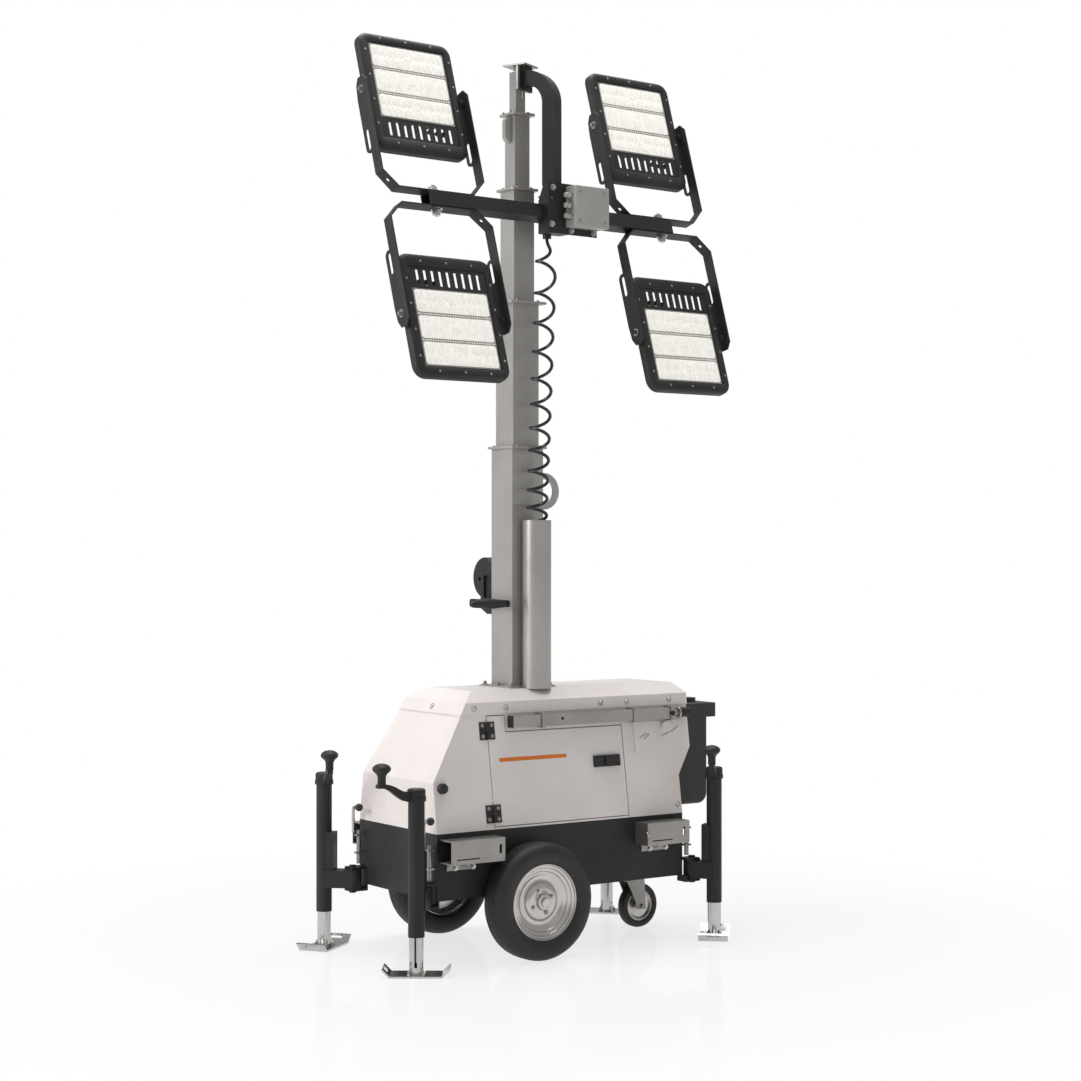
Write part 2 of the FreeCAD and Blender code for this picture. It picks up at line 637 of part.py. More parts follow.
def door_fittings():
    """The door's hinge leaves with their half of the knuckle, and the flush handle."""
    pieces = []
    for z in HINGE_LEVELS:
        pieces.append(wall_plate(DOOR_LEFT + HINGE_PIN_R + HINGE_FIT, DOOR_LEFT + HINGE_LEAF, z,
                                 HINGE_HEIGHT, 0.0, HINGE_PLATE))
        base, normal, up = wall_point(DOOR_LEFT, z, hinge_offset())
        barrel = Part.makeCylinder(HINGE_PIN_R, HINGE_HEIGHT / 2 - 0.5, base + up * 0.5, up)
        web = wall_plate(DOOR_LEFT, DOOR_LEFT + 8, z + HINGE_HEIGHT / 4 + 0.25,
                         HINGE_HEIGHT / 2 - 0.5, 1.0, HINGE_PLATE)
        pieces[-1] = fuse([pieces[-1], barrel, web])
    handle = wall_plate(HANDLE_X - HANDLE_WIDTH / 2, HANDLE_X + HANDLE_WIDTH / 2, HANDLE_Z,
                        HANDLE_HEIGHT, 0.0, 9.0)
    paddle = wall_plate(HANDLE_X - HANDLE_WIDTH * 0.1, HANDLE_X + HANDLE_WIDTH * 0.36, HANDLE_Z,
                        HANDLE_HEIGHT * 0.6, 8.0, 15.0)
    pieces.append(fuse([handle, paddle]))
    return Part.makeCompound(pieces)


def frame_hinges():
    """The hinge leaves and knuckles that stay on the canopy, near side."""
    pieces = []
    for z in HINGE_LEVELS:
        leaf = wall_plate(DOOR_LEFT - HINGE_LEAF, DOOR_LEFT - HINGE_PIN_R - HINGE_FIT, z,
                          HINGE_HEIGHT, 0.0, HINGE_PLATE)
        base, normal, up = wall_point(DOOR_LEFT, z, hinge_offset())
        barrel = Part.makeCylinder(HINGE_PIN_R, HINGE_HEIGHT / 2 - 0.5, base - up * (HINGE_HEIGHT / 2),
                                   up)
        web = wall_plate(DOOR_LEFT - 8, DOOR_LEFT, z - HINGE_HEIGHT / 4 - 0.25,
                         HINGE_HEIGHT / 2 - 0.5, 1.0, HINGE_PLATE)
        pieces.append(fuse([leaf, barrel, web]))
    return pieces


def pull_bar():
    y0, y1 = -BAR_INNER - BAR_DEPTH, -BAR_INNER
    bar = box(BAR_LEFT, BAR_RIGHT, y0, y1, BAR_LOW, BAR_HIGH)
    hollow = box(BAR_LEFT + 12, BAR_RIGHT - 12, y0 + BAR_WALL, y1 - BAR_WALL, BAR_LOW + BAR_WALL,
                 BAR_HIGH - BAR_WALL)
    middle_y, middle_z = (y0 + y1) / 2, (BAR_LOW + BAR_HIGH) / 2
    grip = rod(GRIP_R, (BAR_RIGHT + 18, middle_y, middle_z), (GRIP_END, middle_y, middle_z))
    stem = rod(GRIP_R * 0.7, (BAR_RIGHT - 2, middle_y, middle_z), (BAR_RIGHT + 19, middle_y, middle_z))
    return fuse([bar.cut(hollow), stem, grip])


def bar_guides():
    """Straps that hold the near pull bar to the canopy's wall."""
    y0, y1 = -BAR_INNER - BAR_DEPTH, -BAR_INNER
    core = canopy_solid(0, TRAY_TOP, PANEL_TOP)
    skirt = roof_cover()
    straps = []
    for x in GUIDE_PLACES:
        strap = box(x, x + GUIDE_WIDTH, y0 - BAR_FIT - GUIDE_PLATE, y1 + 30,
                    BAR_LOW - BAR_FIT - GUIDE_PLATE, BAR_HIGH + BAR_FIT + GUIDE_PLATE)
        strap = strap.cut(box(x - 1, x + GUIDE_WIDTH + 1, y0 - BAR_FIT, y1 + BAR_FIT,
                              BAR_LOW - BAR_FIT, BAR_HIGH + BAR_FIT))
        straps.append(strap.cut(core).cut(skirt))
    return straps


def side_channels():
    """One zinc channel at each end of the near side, on a tab bolted to the tray."""
    channels = []
    for x0, x1 in CHANNELS:
        y0, y1, plate = -TRAY_HALF - CHANNEL_OUT, -TRAY_HALF, CHANNEL_PLATE
        channel = box(x0, x1, y0, y1, CHANNEL_LOW, CHANNEL_HIGH).cut(
            box(x0 - 1, x1 + 1, y0 + plate, y1 + 1, CHANNEL_LOW + plate, CHANNEL_HIGH - plate))
        inner_end = x1 - plate if x0 < 0 else x0
        channel = fuse([channel, box(inner_end, inner_end + plate, y0, y1, CHANNEL_LOW, CHANNEL_HIGH)])
        slot_x = x1 - 18 if x0 < 0 else x1 - 24
        channel = channel.cut(box(slot_x - 5, slot_x + 5, y0 - 1, y0 + plate + 1, CHANNEL_HIGH - 52,
                                  CHANNEL_HIGH - 22))
        slit = box(x0 + 20, x0 + 110, y0 - 1, y0 + plate + 1, CHANNEL_LOW + 14, CHANNEL_LOW + 18)
        tab = box(x0 + 24, x0 + 124, y1 - plate, y1, CHANNEL_LOW - CHANNEL_TAB, CHANNEL_LOW + plate)
        channels.append(fuse([channel.cut(slit), tab]))
    return channels


def lock_rods():
    """An upright locking rod in a bracket beside each swing arm."""
    rods = []
    for name, px, py, jx, jy, bearing, foot_bearing in JACKS:
        face = TRAY_LEFT if px < 0 else TRAY_RIGHT
        out = -1 if px < 0 else 1
        x, y = face + out * 16, py
        arms = []
        for z in (ROD_LOW + 34, ROD_HIGH - 20):
            x0, x1 = sorted((face, x + out * (ROD_R + 4)))
            arms.append(box(x0, x1, y - ROD_R - 4, y + ROD_R + 4, z, z + 6))
        rods.append(fuse([rod(ROD_R, (x, y, ROD_LOW), (x, y, ROD_HIGH))] + arms))
    return rods


def zinc_fittings():
    near = side_channels() + bar_guides()
    far = [mirrored(piece) for piece in near]
    return Part.makeCompound(near + far + lock_rods())


def fuel_tank():
    left = TRAY_RIGHT + TANK_GAP
    body = box(left, TANK_RIGHT, -TANK_HALF, TANK_HALF, TANK_BOTTOM, NECK_BOTTOM)
    low = [e for e in body.Edges if abs(e.CenterOfMass.x - TANK_RIGHT) < 1
           and abs(e.CenterOfMass.z - TANK_BOTTOM) < 1]
    body = body.makeFillet(TANK_CORNER, low)
    upright = [e for e in body.Edges if abs(e.tangentAt(e.FirstParameter).z) > 0.99
               and abs(e.CenterOfMass.x - TANK_RIGHT) < 1]
    body = body.makeFillet(TANK_CORNER / 3, upright)
    neck = box(left, NECK_RIGHT, -TANK_HALF, TANK_HALF, NECK_BOTTOM - 1, NECK_TOP)
    ends = [e for e in neck.Edges if abs(e.tangentAt(e.FirstParameter).z) > 0.99
            and abs(e.CenterOfMass.x - NECK_RIGHT) < 1]
    neck = neck.makeFillet(TANK_CORNER / 3, ends)
    cap = rod(CAP_R, (CAP_X, CAP_Y, NECK_TOP - 1), (CAP_X, CAP_Y, NECK_TOP + CAP_HEIGHT))
    return fuse([body, neck, cap])


def engine_block():
    x0, x1, y0, y1, height = ENGINE_BOX
    floor = TRAY_BOTTOM + TRAY_WALL
    return box(x0, x1, y0, y1, floor, floor + height)


def collar_ring(index):
    width, wall, bottom, top, half = SECTIONS[index]
    inner = SECTIONS[index + 1][0] / 2 + SLIDE_FIT
    plate = box(-half, half, -half, half, top - COLLAR, top)
    edges = [e for e in plate.Edges if abs(e.tangentAt(e.FirstParameter).z) > 0.99]
    plate = plate.makeFillet(12, edges)
    return plate.cut(box(-inner, inner, -inner, inner, top - COLLAR - 1, top + 1))


def rope_lug(face):
    """The round-cornered lug at the left of the fourth section that the lift rope is bolted to."""
    lug = box(face - LUG_OUT, face + 1, -LUG_THICK / 2, LUG_THICK / 2, LUG_LOW, LUG_HIGH)
    corners = [e for e in lug.Edges if abs(e.tangentAt(e.FirstParameter).y) > 0.99
               and e.CenterOfMass.x < face - 1]
    return lug.makeFillet(LUG_CORNER, corners)


def mast_section(index):
    width, wall, bottom, top, half = SECTIONS[index]
    pieces = [square_tube(width, wall, bottom, top - COLLAR / 2)]
    if index + 1 < len(SECTIONS):
        pieces.append(collar_ring(index))
    if index > 0:
        outer = SECTIONS[index - 1][0] / 2 - SECTIONS[index - 1][1] - SLIDE_FIT
        inner = width / 2 - wall
        pieces.append(box(-outer, outer, -outer, outer, bottom, bottom + GUIDE_RING).cut(
            box(-inner, inner, -inner, inner, bottom - 1, bottom + GUIDE_RING + 1)))
    if index == len(SECTIONS) - 2:
        pieces.append(rope_lug(-width / 2))
    return fuse(pieces)


def mast_base():
    width = SECTIONS[0][0]
    flange = box(-ROOF_FLANGE, ROOF_FLANGE, -ROOF_FLANGE, ROOF_FLANGE, ROOF_TOP,
                 ROOF_TOP + ROOF_FLANGE_PLATE)
    inner = width / 2 - 1
    flange = flange.cut(box(-inner, inner, -inner, inner, ROOF_TOP - 1, ROOF_TOP + 20))
    store_hole = rod(STORE_R + 0.3, (0, STORE_Y, ROOF_TOP - 1), (0, STORE_Y, ROOF_TOP + 20))
    x = width / 2 + EYE_STAND_OFF
    ring = rod(EYE_OUTER_R, (x, -EYE_PLATE / 2, EYE_Z), (x, EYE_PLATE / 2, EYE_Z))
    root = box(width / 2, x, -EYE_PLATE / 2, EYE_PLATE / 2, EYE_Z - EYE_OUTER_R, EYE_Z + EYE_OUTER_R)
    hole = rod(EYE_INNER_R, (x, -EYE_PLATE, EYE_Z), (x, EYE_PLATE, EYE_Z))
    eye = ring.fuse(root).cut(hole)
    eye = eye.cut(box(-width, width / 2 - 0.5, -50, 50, EYE_Z - 100, EYE_Z + 100))
    return fuse([mast_section(0), flange.cut(store_hole), eye])


def store_tube():
    tube = rod(STORE_R, (0, STORE_Y, ROOF_TOP), (0, STORE_Y, STORE_TOP)).cut(
        rod(STORE_R - STORE_WALL, (0, STORE_Y, ROOF_TOP + 6), (0, STORE_Y, STORE_TOP + 1)))
    back = -SECTIONS[0][0] / 2
    strip = box(-STORE_STRIP / 2, STORE_STRIP / 2, STORE_Y + STORE_R - 3, back,
                ROOF_TOP + 40, STORE_TOP - 40)
    return fuse([tube, strip.cut(rod(STORE_R - 1, (0, STORE_Y, ROOF_TOP), (0, STORE_Y, STORE_TOP)))])


def winch():
    """The hand winch behind the mast: brake cover, side plate, drum, bracket and crank."""
    face, left, right = SECTIONS[0][0] / 2, WINCH_LEFT, WINCH_RIGHT
    cover = rod(WINCH_R, (left, WINCH_Y, WINCH_Z), (right, WINCH_Y, WINCH_Z))
    rims = [e for e in cover.Edges if e.Closed and e.CenterOfMass.x < left + 1]
    cover = cover.makeFillet(5, rims)
    cover = cover.cut(box(left - 1, left + WINCH_STEP, face - 10, WINCH_Y + 2, WINCH_Z - WINCH_R, WINCH_Z + 8))
    cover = cover.cut(rod(7, (left - 1, WINCH_Y + 27, WINCH_Z - 5), (left + 12, WINCH_Y + 27, WINCH_Z - 5)))
    outline = [(face, WINCH_Z + 50), (face, WINCH_FOOT), (WINCH_Y - 2, WINCH_FOOT),
               (WINCH_Y + 36, WINCH_FOOT + 18), (WINCH_Y + 40, WINCH_FOOT + 60), (WINCH_Y + 60, WINCH_Z - 30),
               (WINCH_Y + 30, WINCH_Z + 40)]
    plates = [prism([(x, y, z) for y, z in outline], (4, 0, 0)) for x in (left + 12, DRUM_RIGHT)]
    drum = rod(DRUM_R, (right - 1, WINCH_Y, WINCH_Z), (DRUM_RIGHT + 2, WINCH_Y, WINCH_Z))
    bracket = box(left + 12, DRUM_RIGHT + 4, face, face + 6, WINCH_FOOT, WINCH_Z + 50)
    gear = rod(34, (left + 14, CRANK_SHAFT_Y, CRANK_SHAFT_Z), (left + 28, CRANK_SHAFT_Y, CRANK_SHAFT_Z))
    shaft = rod(9, (left + 20, CRANK_SHAFT_Y, CRANK_SHAFT_Z), (WINCH_ARM_X - 8, CRANK_SHAFT_Y, CRANK_SHAFT_Z))
    arm = box(WINCH_ARM_X - 5, WINCH_ARM_X + 3, WINCH_GRIP_Y - 14, CRANK_SHAFT_Y + 14,
              CRANK_SHAFT_Z - 12, CRANK_SHAFT_Z + 12)
    ends = [e for e in arm.Edges if abs(e.tangentAt(e.FirstParameter).x) > 0.99]
    arm = arm.makeFillet(11, ends)
    spindle = rod(7, (WINCH_ARM_X, WINCH_GRIP_Y, CRANK_SHAFT_Z),
                  (WINCH_ARM_X - 20, WINCH_GRIP_Y, CRANK_SHAFT_Z))
    return fuse([cover, drum, bracket, gear, shaft, arm, spindle, winch_grip()] + plates)


def winch_grip():
    """A barrel-shaped grip along X, fattest a third of the way from its inner end."""
    start, run = WINCH_ARM_X - 14, WINCH_ARM_X - 14 - WINCH_GRIP_END
    shares = ((0.0, 0.76), (0.1, 0.8), (0.3, 1.0), (0.5, 0.98), (0.75, 0.8), (0.92, 0.72), (1.0, 0.5))
    edge = [V(start - s * run, WINCH_GRIP_R * k, 0) for s, k in shares]
    section = edge + [V(start - run, 0, 0), V(start, 0, 0), edge[0]]
    grip = Part.Face(Part.makePolygon(section)).revolve(V(0, 0, 0), AXES["x"], 360)
    return grip.translated(V(0, WINCH_GRIP_Y, CRANK_SHAFT_Z))


def turned(shape):
    """The head's pieces turn together about the mast's axis."""
    return shape.rotated(V(0, 0, 0), AXES["z"], HEAD_TURN)


def gooseneck():
    half, bend = NECK_TUBE / 2, NECK_BEND
    y = BAR_Y
    post = box(NECK_X - half, NECK_X + half, y - half, y + half, NECK_FOOT, NECK_AXIS_TOP - bend)
    corner = Part.Face(Part.makePolygon([
        V(NECK_X - half, y - half, NECK_AXIS_TOP - bend), V(NECK_X + half, y - half, NECK_AXIS_TOP - bend),
        V(NECK_X + half, y + half, NECK_AXIS_TOP - bend), V(NECK_X - half, y + half, NECK_AXIS_TOP - bend),
        V(NECK_X - half, y - half, NECK_AXIS_TOP - bend)]))
    direction = V(-NECK_X, -y, 0)
    direction.normalize()
    centre = V(NECK_X, y, NECK_AXIS_TOP - bend) + direction * bend
    hinge = AXES["z"].cross(direction)
    turn = degrees(atan2(direction.y, direction.x))
    square = post.rotated(V(NECK_X, y, 0), AXES["z"], turn)
    elbow = corner.rotated(V(NECK_X, y, 0), AXES["z"], turn).revolve(centre, hinge, 90)
    level = V(NECK_X, y, NECK_AXIS_TOP) + direction * bend
    run = hypot(NECK_X, y) - bend - 28
    arm = Part.makeBox(run, NECK_TUBE, NECK_TUBE, V(0, -half, -half))
    arm = arm.rotated(V(0, 0, 0), AXES["z"], turn).translated(level)
    end = level + direction * run
    flange = Part.makeBox(FLANGE_THICK, FLANGE_WIDTH, FLANGE_HEIGHT,
                          V(-FLANGE_THICK, -FLANGE_WIDTH / 2, -FLANGE_HEIGHT / 2))
    flange = flange.rotated(V(0, 0, 0), AXES["z"], turn).translated(end)
    for side in (-1, 1):
        for rise in (-1, 1):
            hole = rod(5, (-20, side * (FLANGE_WIDTH / 2 - 10), rise * (FLANGE_HEIGHT / 2 - 12)),
                       (20, side * (FLANGE_WIDTH / 2 - 10), rise * (FLANGE_HEIGHT / 2 - 12)))
            flange = flange.cut(hole.rotated(V(0, 0, 0), AXES["z"], turn).translated(end))
    return turned(fuse([square, elbow, arm, flange]))


def top_fitting():
    """The zinc angle on the innermost section that the gooseneck's flange bolts to."""
    direction = V(NECK_X, BAR_Y, 0)
    direction.normalize()
    turn = degrees(atan2(direction.y, direction.x))
    reach, half = 28.0, FLANGE_WIDTH / 2
    web = Part.makeBox(8, FLANGE_WIDTH, FLANGE_HEIGHT,
                       V(reach - 8, -half, NECK_AXIS_TOP - FLANGE_HEIGHT / 2))
    lid = Part.makeBox(reach + 62, FLANGE_WIDTH + 8, TOP_PLATE,
                       V(-34 + 0.0, -half - 4, TOP_PLATE_Z + 12))
    gusset = prism([(-12, -4, TOP_PLATE_Z + 13), (reach - 4, -4, TOP_PLATE_Z + 13),
                    (reach - 4, -4, TOP_PLATE_Z - 100), (-12, -4, TOP_PLATE_Z - 60)], (0, 8, 0))
    whole = turned(fuse([web, lid, gusset]).rotated(V(0, 0, 0), AXES["z"], turn))
    half = SECTIONS[-1][0] / 2
    return whole.cut(box(-half, half, -half, half, TOP_PLATE_Z - 200, SECTIONS[-1][3]))


def head_bracket():
    plate, front, back = BRACKET_PLATE, BRACKET_FRONT, BRACKET_BACK
    left, right, low, top = BRACKET_LEFT, BRACKET_RIGHT, BRACKET_BOTTOM, BRACKET_TOP
    face = prism([(left, front, low), (BRACKET_WING, front, low), (BRACKET_WING, front, BRACKET_STEP),
                  (right, front, BRACKET_STEP), (right, front, top), (left, front, top)], (0, plate, 0))
    hole_x, hole_z = BRACKET_HOLE
    face = face.cut(rod(BRACKET_HOLE_R, (hole_x, front - 1, hole_z), (hole_x, front + plate + 1, hole_z)))
    inner_right = NECK_X + NECK_TUBE / 2 + 8
    cheeks = []
    for x in (left, inner_right):
        outline = [(x, front, low), (x, back, low), (x, back, CHEEK_SHOULDER), (x, CHEEK_TOP_BACK, top),
                   (x, front, top)]
        cheeks.append(prism(outline, (plate, 0, 0)))
    shelf = box(left, inner_right, front, back, NECK_FOOT - 46, NECK_FOOT - 40)
    saddle = box(NECK_X - NECK_TUBE / 2, NECK_X + NECK_TUBE / 2, front + plate, BAR_Y + 18,
                 NECK_FOOT - 41, NECK_FOOT)
    floor = box(left, inner_right, front, back, low, low + plate)
    gland = rod(GLAND_R + 4, (GLAND_X, BAR_Y, low - GLAND_DROP), (GLAND_X, BAR_Y, low + 4))
    whole = fuse([face, shelf, saddle, floor, gland] + cheeks)
    return turned(whole.cut(crossbar_core(1.0)))


def leaned(shape):
    """From the crossbar's own frame, with z up along the lamps, to the head's place."""
    return turned(shape.rotated(V(0, 0, 0), AXES["x"], -HEAD_LEAN).translated(V(BAR_X, BAR_Y, BAR_Z)))


def crossbar_core(grow):
    half = CROSS_TUBE / 2 + grow
    bar = box(-CROSS_HALF, CROSS_HALF, -half, half, -half, half)
    return bar.rotated(V(0, 0, 0), AXES["x"], -HEAD_LEAN).translated(V(BAR_X, BAR_Y, BAR_Z))


def crossbar():
    half, inner = CROSS_TUBE / 2, CROSS_TUBE / 2 - CROSS_WALL
    bar = box(-CROSS_HALF, CROSS_HALF, -half, half, -half, half).cut(
        box(-CROSS_HALF - 1, CROSS_HALF + 1, -inner, inner, -inner, inner))
    pieces = [bar]
    seat = half + YOKE_GAP + YOKE_PLATE + YOKE_GAP
    for side in (-1, 1):
        x = side * LAMP_OUT
        pieces.append(rod(YOKE_BOLT_R, (x, 0, -seat - YOKE_NUT - 6), (x, 0, seat + YOKE_NUT + 6)))
        for rise in (-1, 1):
            pieces.append(rod(YOKE_NUT_R, (x, 0, rise * seat), (x, 0, rise * (seat + YOKE_NUT))))
    return leaned(fuse(pieces))


def junction_box():
    front = BRACKET_FRONT
    case = box(BOX_LEFT, BOX_RIGHT, front - BOX_DEPTH, front, BOX_BOTTOM, BOX_TOP)
    edges = [e for e in case.Edges if e.CenterOfMass.y < front - 1]
    case = case.makeFillet(BOX_EDGE, edges)
    glands = []
    middle = front - BOX_DEPTH / 2
    for drop in BOX_GLANDS:
        z = BOX_TOP - drop
        glands.append(rod(GLAND_R, (BOX_LEFT - GLAND_REACH * 0.5, middle, z), (BOX_LEFT + 1, middle, z)))
        glands.append(rod(GLAND_R * 0.8, (BOX_LEFT - GLAND_REACH, middle, z),
                          (BOX_LEFT - GLAND_REACH * 0.4, middle, z)))
    z = BOX_BOTTOM + 30
    glands.append(rod(GLAND_R, (BOX_RIGHT - 1, middle, z), (BOX_RIGHT + GLAND_REACH * 0.5, middle, z)))
    return turned(fuse([case] + glands))


def yoke(side, rise, centre):
    half, plate, bar, chamfer = YOKE_HALF, YOKE_PLATE, YOKE_BAR / 2, YOKE_CHAMFER
    seat = CROSS_TUBE / 2 + YOKE_GAP
    top = centre + YOKE_EAR / 2
    outer = [(-half, top), (-half, seat + chamfer), (-half + chamfer, seat), (half - chamfer, seat),
             (half, seat + chamfer), (half, top)]
    bevel = plate * 0.42
    inner = [(half - plate, top), (half - plate, seat + chamfer + bevel),
             (half - chamfer - bevel, seat + plate), (-half + chamfer + bevel, seat + plate),
             (-half + plate, seat + chamfer + bevel), (-half + plate, top)]
    strap = prism([(x, -bar, z) for x, z in outer + inner], (0, 2 * bar, 0))
    ears = []
    for end in (-1, 1):
        x0 = -half if end < 0 else half - plate
        ear = box(x0, x0 + plate, -bar, PIVOT_SET_BACK + 30, centre - 70, centre + YOKE_EAR / 2)
        ears.append(ear)
    strap = fuse([strap] + ears)
    strap = strap.cut(rod(YOKE_BOLT_R + 0.5, (0, 0, seat - 5), (0, 0, seat + 10)))
    strap = strap.cut(rod(PIVOT_R * 0.5 + 0.5, (-half - 5, PIVOT_SET_BACK, centre),
                          (half + 5, PIVOT_SET_BACK, centre)))
    slot_low = centre - YOKE_SLOT_DROP
    strap = strap.cut(box(-half - 5, half + 5, -YOKE_SLOT - 4, YOKE_SLOT - 4, slot_low,
                          slot_low + YOKE_SLOT_LONG))
    if rise < 0:
        strap = strap.rotated(V(0, 0, 0), AXES["y"], 180)
    return leaned(strap.translated(V(side * LAMP_OUT, 0, 0)))


def lamp_place(shape, side, rise, centre):
    """A lamp made about its own middle goes to its yoke; a lower one is turned over."""
    if rise < 0:
        shape = shape.rotated(V(0, 0, 0), AXES["y"], 180)
    return leaned(shape.translated(V(side * LAMP_OUT, 0, rise * centre)))


def lamp_frame():
    front, back = LAMP_FRONT, LAMP_FRONT + LAMP_DEPTH
    slab = rounded_slab(LAMP_WIDTH, LAMP_HEIGHT, LAMP_CORNER, front, back - FIN_DEPTH)
    bezel = [e for e in slab.Edges if e.BoundBox.YMax < front + 0.1]
    slab = slab.makeFillet(FRAME_EDGE, bezel)
    window = box(-LENS_WIDTH / 2, LENS_WIDTH / 2, front - 1, front + LENS_SET_BACK + LENS_PLATE,
                 LENS_SHIFT - LENS_HEIGHT / 2, LENS_SHIFT + LENS_HEIGHT / 2)
    slab = slab.cut(window)
    first = -SLOT_PITCH * (SLOT_COUNT - 1) / 2
    slots = [box(first + i * SLOT_PITCH - SLOT_WIDTH / 2, first + i * SLOT_PITCH + SLOT_WIDTH / 2,
                 front - 1, back, SLOT_SHIFT - SLOT_LENGTH / 2, SLOT_SHIFT + SLOT_LENGTH / 2)
             for i in range(SLOT_COUNT)]
    slab = slab.cut(Part.makeCompound(slots))
    pitch = (LAMP_WIDTH - 2 * LAMP_CORNER) / (FIN_COUNT - 1)
    fins = [box(-LAMP_WIDTH / 2 + LAMP_CORNER + i * pitch - FIN_PLATE / 2,
                -LAMP_WIDTH / 2 + LAMP_CORNER + i * pitch + FIN_PLATE / 2,
                back - FIN_DEPTH - 0.5, back, LENS_SHIFT - LENS_HEIGHT / 2 + 4,
                LENS_SHIFT + LENS_HEIGHT / 2 - 4) for i in range(FIN_COUNT)]
    inner = YOKE_HALF - YOKE_PLATE - YOKE_GAP
    bosses = []
    for end in (-1, 1):
        bosses.append(rod(PIVOT_R, (end * (LAMP_WIDTH / 2 - 2), PIVOT_SET_BACK, 0),
                          (end * inner, PIVOT_SET_BACK, 0)))
        bosses.append(rod(PIVOT_R * 0.5, (end * (inner - 1), PIVOT_SET_BACK, 0),
                          (end * (YOKE_HALF + 10), PIVOT_SET_BACK, 0)))
    wide, high, proud = DRIVER
    driver = box(-wide / 2, wide / 2, back - FIN_DEPTH - 0.5, back + proud, -high / 2, high / 2)
    upright = [e for e in driver.Edges if abs(e.tangentAt(e.FirstParameter).y) > 0.99]
    driver = driver.makeFillet(8, upright)
    return fuse([slab, driver] + fins + bosses)


def lamp_lens():
    front = LAMP_FRONT + LENS_SET_BACK
    return box(-LENS_WIDTH / 2, LENS_WIDTH / 2, front, front + LENS_PLATE,
               LENS_SHIFT - LENS_HEIGHT / 2, LENS_SHIFT + LENS_HEIGHT / 2)


def curly_cable():
    """The curly cable's outer shape, from inside the store tube's mouth to the gland."""
    low, high = STORE_TOP - COIL_DEPTH, BRACKET_BOTTOM - GLAND_DROP
    gland = turned(Part.Vertex(V(GLAND_X, BAR_Y, high)))
    top = gland.Point
    bottom = V(0, STORE_Y, low)
    straight = V(0, STORE_Y, STORE_TOP + 4)
    lower = rod(COIL_R, tuple(bottom), tuple(straight))
    run = top - straight
    upper = Part.makeCylinder(COIL_R, run.Length, straight, run)
    joint = Part.makeSphere(COIL_R, straight)
    ceiling = box(-200, 200, -300, 100, high, high + 100)
    return fuse([lower, joint, upper]).cut(ceiling)


def wheel_place(shape, side):
    return shape.translated(V(WHEEL_X, side * WHEEL_Y, WHEEL_R))


def build():
    parts_made = {}
    parts_made["chassis_frame"] = chassis_frame()
    parts_made["axle_beam"] = axle_beam()
    hood, rear = canopy_panels()
    parts_made["front_hood"] = hood
    parts_made["rear_panels"] = rear
    parts_made["roof_cover"] = roof_cover()
    near_hinges = frame_hinges()
    parts_made["frame_hinges"] = Part.makeCompound(near_hinges + [mirrored(h) for h in near_hinges])
    parts_made["zinc_fittings"] = zinc_fittings()
    parts_made["fuel_tank"] = fuel_tank()
    parts_made["engine_block"] = engine_block()
    parts_made["mast_base"] = mast_base()
    parts_made["cable_store"] = store_tube()
    parts_made["winch"] = winch()
    for name, side in (("near", -1), ("far", 1)):
        parts_made["tyre_" + name] = wheel_place(tyre(), side)
        parts_made["rim_" + name] = wheel_place(rim(side), side)
    fork, plate = castor_fork()
    parts_made["castor_plate"] = plate
    parts_made["castor_fork"] = fork
    parts_made["castor_tyre"], parts_made["castor_rim"] = castor_wheel()
    for index in range(1, len(SECTIONS)):
        parts_made["mast_section_%d" % (index + 1)] = mast_section(index)
    parts_made["gooseneck"] = gooseneck()
    parts_made["top_fitting"] = top_fitting()
    parts_made["head_bracket"] = head_bracket()
    parts_made["crossbar"] = crossbar()
    parts_made["junction_box"] = junction_box()
    frame, lens = lamp_frame(), lamp_lens()
    for name, side, rise, centre in LAMPS:
        parts_made["yoke_" + name] = yoke(side, rise, centre)
        parts_made["lamp_" + name] = lamp_place(frame, side, rise, centre)
        parts_made["lens_" + name] = lamp_place(lens, side, rise, centre)
    for name, px, py, jx, jy, bearing, foot_bearing in JACKS:
        parts_made["jack_arm_" + name] = jack_arm(px, py, jx, jy, bearing)
        parts_made["jack_leg_" + name] = jack_leg(px, py, jx, jy, foot_bearing)
    for name, make in (("near", lambda s: s), ("far", mirrored)):
        parts_made["door_" + name] = make(door_panel(SEAM * 2, 0, PANEL))
        parts_made["door_fittings_" + name] = make(door_fittings())
        parts_made["pull_bar_" + name] = make(pull_bar())
    parts_made["curly_cable"] = curly_cable()
    shift = V(MAST_X, MAST_Y, 0)
    return {name: shape.translated(shift) for name, shape in parts_made.items()}


os.makedirs("parts", exist_ok=True)
model = build()
low = [min(getattr(s.BoundBox, k) for s in model.values()) for k in ("XMin", "YMin", "ZMin")]
high = [max(getattr(s.BoundBox, k) for s in model.values()) for k in ("XMax", "YMax", "ZMax")]
for name, shape in model.items():
    if not shape.isValid():
        print("not valid:", name)
    shape.exportStep("parts/%s.step" % name)
print(len(model), "pieces, box", [round(v, 2) for v in low], [round(v, 2) for v in high])
print("middle", round((low[0] + high[0]) / 2, 3), round((low[1] + high[1]) / 2, 3))
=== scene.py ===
# %% [markdown]
# # A mobile light tower in the studio
# The machine is a small generator set on two wheels and a castor. Four screw jacks hold it
# level, and a square mast of five sections lifts four LED floodlights. Its frame comes
# ready-made, as named pieces at their real size. This file gives each piece its finish and
# adds what is too small for the frame: bolts, lenses, the curly cable, wires and a stripe.

# %% Load the frame
import json
from math import atan2, cos, pi, radians, sin
import bmesh
import bpy
from mathutils import Matrix, Vector


